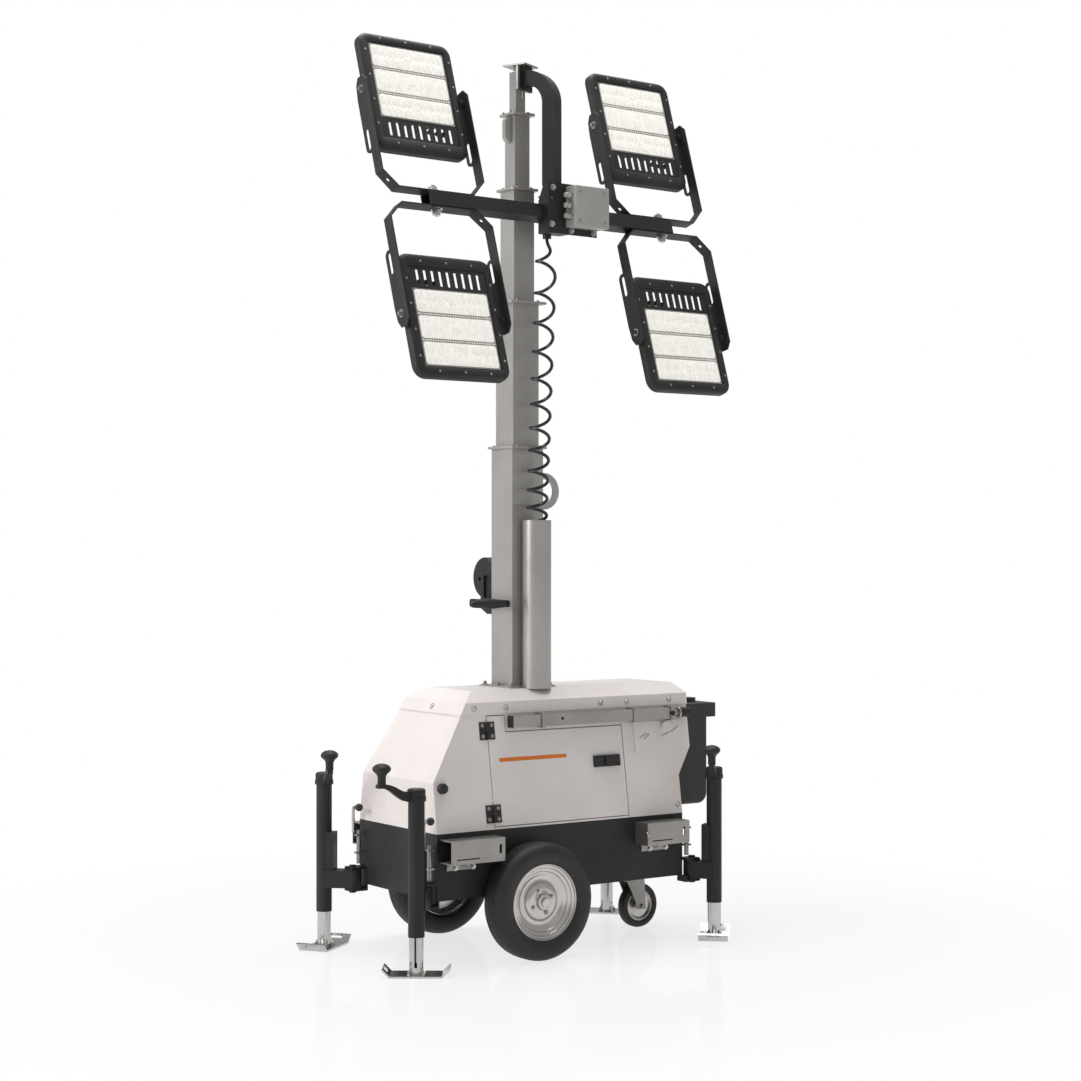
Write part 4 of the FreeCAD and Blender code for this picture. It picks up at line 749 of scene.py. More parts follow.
for number in (2, 3, 4):
    low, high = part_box("mast_section_%d" % number)
    fasteners("collar_bolts_%d" % number, "mast_%d" % number, collar_places(low, high, high.z),
              hex_bolts, COLLAR_BOLT)
ROOF_FLANGE = 0.096
FLANGE_Z = 0.902
corner = ROOF_FLANGE - COLLAR_INSET
places = [(from_mast(x, y, FLANGE_Z), UP) for x in (-corner, 0.0, corner)
          for y in (-corner, corner) if x or y > 0]
places += [(from_mast(x, 0.0, FLANGE_Z), UP) for x in (-corner, corner)]
fasteners("mast_flange_bolts", "chassis", places, hex_bolts, FLANGE_BOLT)
BASE_COLLAR_HALF = 0.078
BASE_COLLAR_Z = 1.736
collar_low = from_mast(-BASE_COLLAR_HALF, -BASE_COLLAR_HALF, 0)
collar_high = from_mast(BASE_COLLAR_HALF, BASE_COLLAR_HALF, 0)
BASE_COLLAR_INSET = 0.010
fasteners("collar_bolts_1", "chassis",
          collar_places(collar_low, collar_high, BASE_COLLAR_Z, BASE_COLLAR_INSET), hex_bolts,
          LOW_COLLAR_BOLT)

# %% [markdown]
# ## The floodlights
# Each floodlight is a cast frame round one deep recess. Three long LED modules fill most of the
# recess, and a thin plate with nine slots covers the rest, open behind, so that daylight shows
# through it. The frame is a skin over rings of points: each ring is a rounded rectangle, and
# they step over the frame's rounded rim and down its inner wall.

# %% Places on a floodlight
LAMP_NAMES = ("upper_left", "lower_left", "upper_right", "lower_right")
LAMP_W, LAMP_H, LAMP_CORNER = 0.382, 0.430, 0.042
FRONT = head_axes @ Vector((0, -1, 0))
WINDOW_W, WINDOW_H = 0.309, 0.274
WINDOW_SHIFT = 0.042
WINDOW_DEEP = 0.006
RECESS_HALF, RECESS_LOW, RECESS_HIGH = 0.157, -0.170, 0.182
HOUSING_BACK, FIN_BACK, DRIVER_BACK = -0.032, -0.058, -0.074
PIVOT_DEEP = -0.010


def lamp_matrix(name, deep=0.0):
    """Axes on a lamp's front: X along the crossbar, Y from the grille to the window, Z outwards."""
    axes = Matrix((head_axes @ ALONG, head_axes @ UP, FRONT)).transposed().to_4x4()
    turn = 0 if name.startswith("upper") else pi
    outwards = FRONT * (WINDOW_DEEP + 0.003 - deep)
    return (moved(middle("lens_" + name) + outwards) @ axes
            @ Matrix.Rotation(turn, 4, "Z") @ moved((0, -WINDOW_SHIFT, 0)))


# %% The cast housing, its fins, driver and pivots
RIM_SECTION = ((0, HOUSING_BACK), (0, -0.014), (0.0012, -0.0085), (0.0045, -0.004),
               (0.009, -0.0012), (0.0145, 0))
LIP_SECTION = ((0.0035, 0), (0.0015, -0.001), (0, -0.0035), (0, HOUSING_BACK))
BACK_LOW, BACK_HIGH, BACK_T, BACK_Z = RECESS_LOW + 0.073, RECESS_HIGH + 0.002, 0.0195, -0.0221
LAMP_FINS, LAMP_FIN_PITCH, LAMP_FIN_T = 13, 0.0235, 0.0032
DRIVER_X, DRIVER_Y, DRIVER_CORNER = 0.075, 0.055, 0.009
DRIVER_SECTION = ((0, HOUSING_BACK), (0, DRIVER_BACK + 0.004), (0.0012, DRIVER_BACK + 0.001),
                  (0.004, DRIVER_BACK))
PIVOT_OUT = 0.189
PIVOT = ((0, 0), (0.014, 0), (0.014, 0.0156), (0.007, 0.0156), (0.007, 0.031), (0, 0.031))


def rim_ring(inset, z):
    return rounded_ring(-LAMP_W / 2 + inset, LAMP_W / 2 - inset, -LAMP_H / 2 + inset,
                        LAMP_H / 2 - inset, LAMP_CORNER - inset, z)


def recess_ring(grow, z):
    return rounded_ring(-RECESS_HALF - grow, RECESS_HALF + grow, RECESS_LOW - grow,
                        RECESS_HIGH + grow, 0.005 + grow, z)


def housing(shape, at):
    rings = [rim_ring(*step) for step in RIM_SECTION] + [recess_ring(*step) for step in LIP_SECTION]
    skin(shape, rings, at, joined=True)
    slab(shape, (2 * RECESS_HALF + 0.004, BACK_HIGH - BACK_LOW, BACK_T),
         at @ moved((0, (BACK_LOW + BACK_HIGH) / 2, BACK_Z)), 0.001)
    for i in range(LAMP_FINS):
        x = (i - (LAMP_FINS - 1) / 2) * LAMP_FIN_PITCH
        slab(shape, (LAMP_FIN_T, WINDOW_H - 0.01, HOUSING_BACK - FIN_BACK + 0.001),
             at @ moved((x, WINDOW_SHIFT, (HOUSING_BACK + FIN_BACK) / 2)), 0.0008)
    skin(shape, [rounded_ring(i - DRIVER_X, DRIVER_X - i, i - DRIVER_Y, DRIVER_Y - i,
                              DRIVER_CORNER - i, z) for i, z in DRIVER_SECTION], at, capped=True)
    for end in (-1, 1):
        turned_ring(shape, PIVOT,
                    at @ facing(Vector((end * PIVOT_OUT, 0, PIVOT_DEEP)), (end, 0, 0)), 24)


# %% The slotted grille below the window
SLOTS, SLOT_PITCH, SLOT_HALF = 9, 0.031, 0.0052
GRILLE_LOW, GRILLE_HIGH = RECESS_LOW + 0.0005, RECESS_LOW + 0.0745
SLOT_LOW, SLOT_HIGH = -0.161, -0.104
GRILLE_T, GRILLE_EDGE, GRILLE_Z = 0.0025, 0.0004, -0.0052
# Behind the slots: three cable glands and the rail that carries them.
LAMP_GLANDS, LAMP_GLAND_Z = ((0.052, -0.118), (0.083, -0.121), (0.108, -0.122)), -0.026
LAMP_GLAND = ((0, 0), (0.0085, 0), (0.0085, 0.012), (0, 0.012))
RAIL, RAIL_AT = (0.082, 0.004, 0.008), (0.083, -0.1205, -0.028)


def grille(shape, at):
    half = RECESS_HALF - 0.0005
    rim = [(half, GRILLE_HIGH), (-half, GRILLE_HIGH), (-half, GRILLE_LOW), (half, GRILLE_LOW)]
    slots = [long_hole((i - (SLOTS - 1) / 2) * SLOT_PITCH, SLOT_LOW, SLOT_HIGH, SLOT_HALF)
             for i in range(SLOTS)]
    add_plate(shape, [rim] + slots, GRILLE_T, GRILLE_EDGE, at @ moved((0, 0, GRILLE_Z)))
    for x, y in LAMP_GLANDS:
        turned_ring(shape, LAMP_GLAND, at @ moved((x, y, LAMP_GLAND_Z)), 12)
    slab(shape, RAIL, at @ moved(RAIL_AT), 0.001)


for name in LAMP_NAMES:
    at = lamp_matrix(name)
    made = made_piece("housing_" + name, lambda shape: (housing(shape, at), grille(shape, at)),
                      "lamp_black", "lamp_" + name)
    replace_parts(made, "lamp_" + name)
print("housing faces", len(made.data.polygons))

# %% [markdown]
# ## The LED modules
# A module is one clear moulding with two rows of tall lenses, the middle one with a row of flat
# ones, and small beads mark the gaps between them. Geometry Nodes set one squashed sphere on
# each point of a grid.

# %% A tree for a sheet of lenses
MODULES = 3
MODULE_GAP, WINDOW_SPARE = 0.0085, 0.008


def lens_tree():
    tree, given, result = new_tree("lens_sheet", [
        ("Width", "Float"), ("Height", "Float"), ("Columns", "Int"), ("Rows", "Int"),
        ("Lens Radius", "Float"), ("Tall", "Float"), ("Rise", "Float"), ("Finish", "Material")])
    grid = add_node(tree, "GeometryNodeMeshGrid", Size_X=given.outputs["Width"],
                    Size_Y=given.outputs["Height"], Vertices_X=given.outputs["Columns"],
                    Vertices_Y=given.outputs["Rows"])
    ball = add_node(tree, "GeometryNodeMeshUVSphere", Segments=14, Rings=8,
                    Radius=given.outputs["Lens Radius"])
    stretch = add_node(tree, "ShaderNodeCombineXYZ", X=1.0, Y=given.outputs["Tall"],
                       Z=given.outputs["Rise"])
    dome = add_node(tree, "GeometryNodeTransform", Geometry=ball.outputs["Mesh"],
                    Scale=stretch.outputs[0])
    placed = add_node(tree, "GeometryNodeInstanceOnPoints", Points=grid.outputs["Mesh"],
                      Instance=dome.outputs[0])
    return close_tree(tree, given, result, placed.outputs[0])


# %% The sheets: tall lenses, flat lenses for the middle module, and a row of beads
lens_sheet = lens_tree()
module_h = (WINDOW_H - MODULE_GAP * (MODULES - 1) - WINDOW_SPARE) / MODULES


def sheet(name, columns, rows, radius, tall, rise, width, height):
    seed = bpy.data.meshes.new(name + "_seed")
    return grown(name, seed, lens_sheet, {"Width": width, "Height": height, "Columns": columns,
                                          "Rows": rows, "Lens Radius": radius, "Tall": tall,
                                          "Rise": rise, "Finish": FINISHES["led_lens"]})


tall_lenses = sheet("tall_lenses", 13, 2, 0.0096, 1.85, 0.2, WINDOW_W - 0.044, module_h * 0.46)
flat_lenses = sheet("flat_lenses", 5, 1, 0.0250, 1.2, 0.06, WINDOW_W - 0.080, 0.0)
bead_row = sheet("bead_row", 30, 1, 0.0026, 1.0, 0.7, WINDOW_W - 0.022, 0.0)
print("faces in one sheet of tall lenses:", len(tall_lenses.polygons))


# %% Put the modules, beads and seal in each window
LENS_Z, BEAD_Z = 0.0018, 0.001
CHIP, CHIP_Z = (0.030, 0.012, 0.003), 0.0022
PLATE_IN_X, PLATE_IN_Y, PLATE_CORNER, PLATE_T, PLATE_Z = 0.007, 0.0025, 0.010, 0.0024, 0.0009
SEAL_W, SEAL_T, SEAL_PAST, SEAL_OUT = 0.005, 0.004, 0.008, 0.0015


def add_copy(shape, mesh, matrix):
    copy = mesh.copy()
    copy.transform(matrix)
    shape.from_mesh(copy)
    bpy.data.meshes.remove(copy)


def module_middles():
    return [(row - (MODULES - 1) / 2) * (module_h + MODULE_GAP) for row in range(MODULES)]


def lens_sheets(shape, at):
    for row, y in enumerate(module_middles()):
        mesh = flat_lenses if row == MODULES // 2 else tall_lenses
        add_copy(shape, mesh, at @ moved((0, y, LENS_Z)))
        slab(shape, CHIP, at @ moved((0, y, CHIP_Z)), 0.0012)
        if row:
            between = y - (module_h + MODULE_GAP) / 2
            add_copy(shape, bead_row, at @ moved((0, between, BEAD_Z)))


def module_plates(shape, at):
    x, high = WINDOW_W / 2 - PLATE_IN_X, module_h / 2
    for y in module_middles():
        rim = rounded_ring(-x, x, y - high + PLATE_IN_Y, y + high - PLATE_IN_Y, PLATE_CORNER, 0)
        add_plate(shape, [[(p.x, p.y) for p in rim]], PLATE_T, 0.0006,
                  at @ moved((0, 0, PLATE_Z)))


def seal(shape, at):
    for end in (-1, 1):
        for size, x, y in (((WINDOW_W + SEAL_PAST, SEAL_W), 0, end * (WINDOW_H / 2 + SEAL_OUT)),
                           ((SEAL_W, WINDOW_H + SEAL_PAST), end * (WINDOW_W / 2 + SEAL_OUT), 0)):
            slab(shape, (*size, SEAL_T), at @ moved((x, y, 0.0005)), 0.001)


for name in LAMP_NAMES:
    at = lamp_matrix(name, WINDOW_DEEP) @ moved((0, WINDOW_SHIFT, 0))
    body = "lamp_" + name
    made_piece("led_lenses_" + name, lambda shape: lens_sheets(shape, at), "led_lens", body)
    made_piece("led_plates_" + name, lambda shape: module_plates(shape, at), "led_glass", body)
    made_piece("window_seal_" + name, lambda shape: seal(shape, at), "gasket", body)

# %% Screws round each lamp's frame, and its pivot bolts
SIDE_SCREWS = (0.147, 0.055, -0.035, -0.123)
FOOT_SCREWS = (-0.104, 0.0, 0.104)
SIDE_X, FOOT_YS, PIVOT_BOLT_OUT = 0.172, (-0.188, 0.196), 0.2105
for name in LAMP_NAMES:
    at = lamp_matrix(name)
    marks = [(x, y) for x in (-SIDE_X, SIDE_X) for y in SIDE_SCREWS]
    marks += [(x, y) for x in FOOT_SCREWS for y in FOOT_YS]
    places = [(at @ Vector((x, y, 0)), FRONT) for x, y in marks]
    fasteners("frame_screws_" + name, "lamp_" + name, places, dome_bolts, FRAME_SCREW)
    ends = [(at @ Vector((end * PIVOT_BOLT_OUT, 0, PIVOT_DEEP)), at.to_3x3() @ Vector((end, 0, 0)))
            for end in (-1, 1)]
    fasteners("pivot_bolts_" + name, "lamp_" + name, ends, hex_bolts,
              LOW_PIVOT_BOLT if name == "lower_right" else PIVOT_BOLT, "bright_zinc")

# %% [markdown]
# ## The yokes
# A yoke is one flat strap bent into a U, bolted to the crossbar at its middle. Its two arms widen
# into ears with a long slot, which lets the lamp be clamped at a tilt. The strap's flat
# stretches are plates with bevelled edges, and a thin round bar fills the outside of each bend.

# %% The yokes' plates and bends
BAR_MIDDLE = Vector((0.053, -0.1288, 2.5394))
LAMP_OUT = 0.503
YOKE_SEAT, YOKE_T = 0.0254, 0.005
YOKE_HALF, YOKE_CHAMFER, STRAP_HALF, ARM_BACK = 0.210, 0.056, 0.023, 0.019
EAR_BACK, SLOT_Y, YOKE_SLOT_HALF = 0.045, 0.025, 0.0085
SLOT_FOOT, SLOT_TOP = 0.206, 0.142
YOKE_EDGE, SEAT_HOLE_R, BEND_HOLE_R = 0.0006, 0.0085, 0.0065
PIVOT_UP = {"upper": 0.387, "lower": 0.412}
turned_head = Matrix.Rotation(HEAD_TURN, 3, "Z")


def on_head(x, y, z):
    """A point in the head's own axes, measured from the mast's axis on the ground."""
    return from_mast(0, 0, 0) + turned_head @ Vector((x, y, z))


def yoke_matrix(name):
    """Axes on the crossbar at a yoke: X along the bar, Z towards the lamp."""
    side = -1 if name.endswith("left") else 1
    turn = 0 if name.startswith("upper") else pi
    place = on_head(*BAR_MIDDLE) + head_axes @ Vector((side * LAMP_OUT, 0, 0))
    return moved(place) @ head_axes.to_4x4() @ Matrix.Rotation(turn, 4, "Y")


def strap_line():
    """The middle of the strap's thickness: arm's foot, bend and seat on the right side."""
    share = YOKE_T / 2 * 0.414
    return ((YOKE_HALF - YOKE_T / 2, YOKE_SEAT + YOKE_CHAMFER + share),
            (YOKE_HALF - YOKE_CHAMFER - share, YOKE_SEAT + YOKE_T / 2))


def arm_outline(foot, pivot):
    """The arm's outline seen along the crossbar: corners as distances back and up."""
    lobe = pivot - SLOT_FOOT
    return ([(-STRAP_HALF, foot), (ARM_BACK, foot)] + arc(SLOT_Y, lobe, 0.020, 253, 360)
            + [(EAR_BACK, pivot - 0.030), (0.040, pivot + 0.020), (0.026, pivot + 0.044),
               (-0.004, pivot + 0.046), (-STRAP_HALF, pivot + 0.022)])


def yoke(shape, at, pivot):
    (arm_x, arm_z), (seat_x, seat_z) = strap_line()
    flat = Matrix(((1, 0, 0, 0), (0, 1, 0, 0), (0, 0, 1, seat_z), (0, 0, 0, 1)))
    base = [(seat_x, STRAP_HALF), (-seat_x, STRAP_HALF), (-seat_x, -STRAP_HALF),
            (seat_x, -STRAP_HALF)]
    add_plate(shape, [base, arc(0, 0, SEAT_HOLE_R, 0, 340, 17)], YOKE_T, YOKE_EDGE, at @ flat)
    slope = Vector((arm_x - seat_x, 0, arm_z - seat_z))
    reach = slope.length
    for end in (-1, 1):
        run = Vector((end * slope.x, 0, slope.z)) / reach
        across = Vector((0, 1, 0))
        tilt = Matrix((run, across, run.cross(across))).transposed().to_4x4()
        corner = [(0, -STRAP_HALF), (reach, -STRAP_HALF), (reach, ARM_BACK), (0, STRAP_HALF)]
        hole = arc(reach * 0.5, -0.002, BEND_HOLE_R, 0, 340, 17)
        add_plate(shape, [corner, hole], YOKE_T, YOKE_EDGE,
                  at @ moved((end * seat_x, 0, seat_z)) @ tilt)
        upright = Matrix(((0, 0, 1, end * arm_x), (1, 0, 0, 0), (0, 1, 0, 0), (0, 0, 0, 1)))
        hole = long_hole(SLOT_Y, pivot - SLOT_FOOT - YOKE_SLOT_HALF, pivot - SLOT_TOP,
                         YOKE_SLOT_HALF)
        add_plate(shape, [arm_outline(arm_z, pivot), hole], YOKE_T, YOKE_EDGE, at @ upright)
        for x, z, back in ((end * arm_x, arm_z, ARM_BACK), (end * seat_x, seat_z, STRAP_HALF)):
            wide = back + STRAP_HALF - 0.0004
            turned_ring(shape, ((0, 0), (YOKE_T / 2, 0), (YOKE_T / 2, wide), (0, wide)),
                        at @ facing(Vector((x, -STRAP_HALF + 0.0002, z)), (0, 1, 0)), 16)


for name in LAMP_NAMES:
    pivot = PIVOT_UP[name.split("_")[0]]
    made = made_piece("bent_yoke_" + name, lambda shape: yoke(shape, yoke_matrix(name), pivot),
                      "black_steel", "yoke_" + name)
    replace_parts(made, "yoke_" + name)

# %% The zinc nuts that clamp the yokes to the crossbar
NUT_SEAT = 0.0308
places = [(yoke_matrix(name) @ Vector((0, 0, NUT_SEAT)), yoke_matrix(name).to_3x3() @ UP)
          for name in LAMP_NAMES]
fasteners("yoke_nuts", "head", places, hex_bolts, YOKE_NUT, "bright_zinc")

# %% [markdown]
# ## The junction box
# The box on the bracket has a lid with four screws, and a hexagonal nut on every cable gland.

# %% Lid screws, gland nuts and bracket bolts
BOX_FRONT, BOX_MIDDLE = -0.234, -0.206
BOX_LEFT, BOX_RIGHT = 0.075, 0.226
LID_XS, LID_ZS = (0.094, 0.203), (2.514, 2.616)
PLATE_Y = -0.178
PLATE_BOLTS = ((0.098, 2.483), (0.199, 2.483), (0.016, 2.627), (0.012, 2.500))
LEFT_GLANDS, RIGHT_GLAND = (2.601, 2.565, 2.529), 2.523
head_front = turned_head @ Vector((0, -1, 0))
head_side = turned_head @ ALONG
lid = [(on_head(x, BOX_FRONT, z), head_front) for x in LID_XS for z in LID_ZS]
fasteners("box_lid_screws", "head", lid, dome_bolts, LID_SCREW)
plate_bolts = [(on_head(x, PLATE_Y, z), head_front) for x, z in PLATE_BOLTS]
fasteners("bracket_bolts", "head", plate_bolts, hex_bolts, BRACKET_BOLT, "bright_zinc")


def gland_nuts(shape):
    nut = ((0.0, 0), (0.0145, 0), (0.0145, 0.007), (0.0, 0.007))
    collar = ((0.0, 0.009), (0.0125, 0.009), (0.0118, 0.019), (0.0, 0.019))
    for z in LEFT_GLANDS:
        at = facing(on_head(BOX_LEFT, BOX_MIDDLE, z), -head_side)
        turned_ring(shape, nut, at, 6)
        turned_ring(shape, collar, at, 6)
    turned_ring(shape, nut, facing(on_head(BOX_RIGHT, BOX_MIDDLE, RIGHT_GLAND), head_side), 6)


made_piece("gland_nuts", gland_nuts, "bright_zinc", "head")

# %% [markdown]
# ## Wheels
# The tyre's section is drawn once, with round shoulders and four grooves in the tread, and is
# turned about the axle. The pressed rim steps inwards over two ridges to a dished disc, and its
# smooth bends catch the light as fine rings.

# %% The tyre's section
WHEEL_X, WHEEL_Y, WHEEL_R = -0.127, 0.313, 0.198
SIDEWALL = ((0.1268, 0.0365), (0.1300, 0.0425), (0.1360, 0.0462), (0.1375, 0.0478),
            (0.1400, 0.0486), (0.1500, 0.0515), (0.1600, 0.0527), (0.1700, 0.0520),
            (0.1790, 0.0493), (0.1860, 0.0449), (0.1912, 0.0392), (0.1945, 0.0328))
TREAD_HALF, TREAD_FALL = 0.030, 0.0018
GROOVE_HALF, GROOVE_DEEP, GROOVE_EDGE = 0.0014, 0.0045, 0.0006
GROOVES = (0.021, 0.0075, -0.0075, -0.021)


def crown(y):
    return WHEEL_R - TREAD_FALL * (y / TREAD_HALF) ** 2


def tyre_section():
    tread = [(crown(TREAD_HALF), TREAD_HALF)]
    for y in GROOVES:
        for side in (1, -1):
            wall = y + side * GROOVE_HALF
            edge = [(crown(y), y + side * (GROOVE_HALF + GROOVE_EDGE)),
                    (crown(y) - GROOVE_EDGE, wall), (crown(y) - GROOVE_DEEP, wall)]
            tread += edge if side > 0 else edge[::-1]
    tread.append((crown(TREAD_HALF), -TREAD_HALF))
    return list(SIDEWALL) + tread + [(r, -y) for r, y in SIDEWALL[::-1]] + [SIDEWALL[0]]


# %% The rim's section, outboard face first
RIM_FACE = ((0, 0.0505), (0.0135, 0.0505), (0.0165, 0.0480), (0.0175, 0.0405),
            (0.0250, 0.0395), (0.0270, 0.0370), (0.0285, 0.0290), (0.0330, 0.0265),
            (0.0420, 0.0262), (0.0510, 0.0255), (0.0590, 0.0225), (0.0645, 0.0165),
            (0.0665, 0.0115), (0.0700, 0.0095), (0.0800, 0.0098), (0.0870, 0.0115),
            (0.0905, 0.0150), (0.0935, 0.0165), (0.0975, 0.0168), (0.1010, 0.0190),
            (0.1030, 0.0235), (0.1065, 0.0250), (0.1100, 0.0252), (0.1130, 0.0275),
            (0.1150, 0.0330), (0.1185, 0.0348), (0.1215, 0.0355), (0.1232, 0.0385),
            (0.1245, 0.0412), (0.1268, 0.0420), (0.1284, 0.0408), (0.1284, 0.0385))
RIM_BACK = ((0.1262, 0.0350), (0.1225, 0.0100), (0.1225, -0.0250), (0.1262, -0.0350),
            (0.1284, -0.0385), (0.1284, -0.0408), (0.1262, -0.0420), (0.1240, -0.0400),
            (0.1180, -0.0300), (0.1140, 0.0050), (0.0960, 0.0080), (0.0700, 0.0060),
            (0.0620, 0.0120), (0.0500, 0.0200), (0.0300, 0.0210), (0.0290, -0.0310),
            (0, -0.0310))
NUT_CIRCLE, NUT_TURN, NUT_SEAT_Y = 0.0405, 0.4, 0.0262
TURN_STEPS = 96
for name, side in SIDES:
    at = facing(from_mast(WHEEL_X, side * WHEEL_Y, WHEEL_R), (0, side, 0))
    body = "wheel_" + name
    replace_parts(turned("road_tyre_" + name, tyre_section(), at, "tyre_rubber", body,
                       steps=TURN_STEPS), "tyre_" + name)
    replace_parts(turned("pressed_rim_" + name, RIM_FACE + RIM_BACK, at, "wheel_silver", body,
                       steps=TURN_STEPS), "rim_" + name)
    angles = [i * pi / 2 + NUT_TURN for i in range(4)]
    nuts = [(at @ Vector((NUT_CIRCLE * cos(a), NUT_CIRCLE * sin(a), NUT_SEAT_Y)),
             Vector((0, side, 0))) for a in angles]
    fasteners("wheel_nuts_" + name, "wheel_" + name, nuts, hex_bolts, WHEEL_NUT, "bright_zinc")

# %% The castor's band and disc
CASTOR_AT = (0.530, 0.0, 0.080)
BAND = ((0.0555, 0.0150), (0.0580, 0.0172), (0.0640, 0.0188), (0.0710, 0.0182), (0.0760, 0.0160),
        (0.0788, 0.0125), (0.0799, 0.0080))
DISC_FACE = ((0, 0.0225), (0.0120, 0.0225), (0.0140, 0.0150), (0.0160, 0.0070), (0.0300, 0.0058),
             (0.0420, 0.0062), (0.0460, 0.0100), (0.0490, 0.0145), (0.0530, 0.0155),
             (0.0553, 0.0145))
CASTOR_STEPS = 72


def mirrored(section):
    """The far half of a section, from its near half."""
    return tuple((r, -y) for r, y in section[::-1])


at = facing(from_mast(*CASTOR_AT), (0, -1, 0))
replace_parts(turned("castor_band", BAND + mirrored(BAND) + (BAND[0],), at, "castor_rubber",
                   "castor_wheel", steps=CASTOR_STEPS), "castor_tyre")
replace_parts(turned("castor_disc", DISC_FACE + mirrored(DISC_FACE), at, "wheel_silver",
                   "castor_wheel", steps=CASTOR_STEPS), "castor_rim")

# %% [markdown]
# ## Rubber buffers, pull bars and locking rods
# A rubber buffer on each long wall stops the jack's arm when it is folded. Each pull bar ends in
# a plug on one side and a ribbed grip on the other, and the locking rods beside the left jacks
# are lifted by a ball knob.

# %% Buffers on the walls
BUFFER_AT = (-0.458, 0.587)
BUFFER = ((0, -0.001), (0.0176, -0.001), (0.0176, 0.0125), (0.0160, 0.0155), (0.0125, 0.0165),
          (0, 0.0168))
for name, side in SIDES:
    at = facing(*wall_point(side, *BUFFER_AT))
    turned("rubber_buffer_" + name, BUFFER, at, "black_plastic", "chassis")

# %% The pull bars' plugs, rings, grips and pins, and dark discs of painted shade for holes
BAR_MIDDLE_Y, BAR_MIDDLE_Z = 0.2215, 0.795
BAR_END, RING_X, GRIP_X = -0.1775, 0.5400, 0.5478
BAR_PLUG, PLUG_EDGE = (0.006, 0.0292, 0.0412), 0.0012
RIDGES, RIDGE_PITCH = 7, 0.0056
RING = ((0, 0), (0.0190, 0), (0.0198, 0.001), (0.0198, 0.004), (0.0190, 0.005), (0, 0.005))
# Each mark's place along the bar, its height, its radius and how far it stands out: first a dark
# disc of painted shade where a hole is, then a black pin.
BAR_FACE = 0.0138
BAR_HOLE_SHADE_AND_PIN = ((0.028, 0.798, 0.006, 0.0008), (0.505, 0.795, 0.0095, 0.0075))
grip = [(0.0, 0.0), (0.0158, 0.0)]
for i in range(RIDGES):
    x = 0.0008 + i * RIDGE_PITCH
    grip += [(0.0172, x), (0.0172, x + 0.0034), (0.0160, x + 0.0040), (0.0160, x + 0.0050)]
grip += [(0.0166, 0.0404), (0.0140, 0.0418), (0.0, 0.0420)]
for name, side in SIDES:
    body, y = "pull_bar_" + name, side * BAR_MIDDLE_Y
    made_piece("bar_plug_" + name, lambda shape: slab(
        shape, BAR_PLUG, moved(from_mast(BAR_END, y, BAR_MIDDLE_Z)), PLUG_EDGE),
        "black_plastic", body)
    turned("bar_grip_" + name, grip, facing(from_mast(GRIP_X, y, BAR_MIDDLE_Z), ALONG),
           "black_plastic", body)
    turned("bar_ring_" + name, RING, facing(from_mast(RING_X, y, BAR_MIDDLE_Z), ALONG),
           "bright_zinc", body)
    # A dark disc paints the shade inside a hole; the other mark is a real black pin.
    made_piece("bar_holes_" + name, lambda shape: [turned_ring(
        shape, ((0, 0), (r, 0), (r * 0.9, high), (0, high)),
        facing(from_mast(x, y + side * BAR_FACE, z), (0, side, 0)), 20)
        for x, z, r, high in BAR_HOLE_SHADE_AND_PIN], "gasket", body)

# %% Locking rods with ball knobs
ROD_PLACES = ((-0.528, -0.232), (-0.528, 0.232))
# The handle's points, as distances towards the near side and heights.
ROD_LINE = ((0, 0.398), (0, 0.440), (0, 0.478), (0.010, 0.489), (0.030, 0.489))
ROD_R, KNOB_R, KNOB_FOOT, KNOB_OUT = 0.0055, 0.0135, -0.016, 0.040


def ball(radius, foot):
    """A ball's outline on a short neck."""
    angles = [radians(-62 + 152 * i / 12) for i in range(13)]
    return ([(0, foot), (radius * 0.47, foot)]
            + [(radius * cos(a), radius * sin(a)) for a in angles[:-1]] + [(0, radius)])


for number, (x, y) in enumerate(ROD_PLACES):
    line = [from_mast(x, y - out, z) for out, z in ROD_LINE]
    mesh = tube_mesh("rod_handle_%d" % number, line, ROD_R, sides=8)[0]
    piece(mesh.name, mesh, "bright_zinc", "chassis")
    turned("rod_knob_%d" % number, ball(KNOB_R, KNOB_FOOT),
           facing(from_mast(x, y - KNOB_OUT, ROD_LINE[-1][1]), (0, -1, 0)), "black_plastic",
           "chassis", steps=28)

# %% Wire lanyards on the rear panels
WIRE_OUT, WIRE_R = 0.0045, 0.0014
LANYARDS = (((0.354, 0.668), (0.362, 0.699), (0.385, 0.719), (0.417, 0.727), (0.421, 0.718),
             (0.396, 0.706)),
            ((0.472, 0.712), (0.491, 0.724), (0.520, 0.725), (0.536, 0.734), (0.552, 0.746)))
for name, side in SIDES:
    for number, points in enumerate(LANYARDS):
        line = [wall_point(side, x, z, WIRE_OUT)[0] for x, z in points]
        mesh = tube_mesh("lanyard_%s_%d" % (name, number), line, WIRE_R, sides=1)[0]
        piece(mesh.name, mesh, "bright_zinc", "chassis")

# %% Bolts on the channels' tabs and end plates
TRAY_SIDE = 0.285
CHANNEL_TABS, TAB_SHIFTS, TAB_BOLT_Z = (-0.478, 0.328), (0.038, 0.108), 0.331
PIN_AT, PIN_OUT, PIN_Z = 0.328, 0.036, 0.385
for name, side in SIDES:
    tabs = [(from_mast(x0 + shift, side * TRAY_SIDE, TAB_BOLT_Z), Vector((0, side, 0)))
            for x0 in CHANNEL_TABS for shift in TAB_SHIFTS]
    ends = [(from_mast(PIN_AT, side * (TRAY_SIDE + PIN_OUT), PIN_Z), Vector((-1, 0, 0)))]
    fasteners("channel_bolts_" + name, "chassis", tabs, hex_bolts, TAB_BOLT, "bright_zinc")
    fasteners("channel_pins_" + name, "chassis", ends, dome_bolts, CHANNEL_PIN,
              "bright_zinc")

# %% [markdown]
# ## The doors' stripe
# A plain stripe runs along each door, as a very thin slab that lies on the leaning wall.

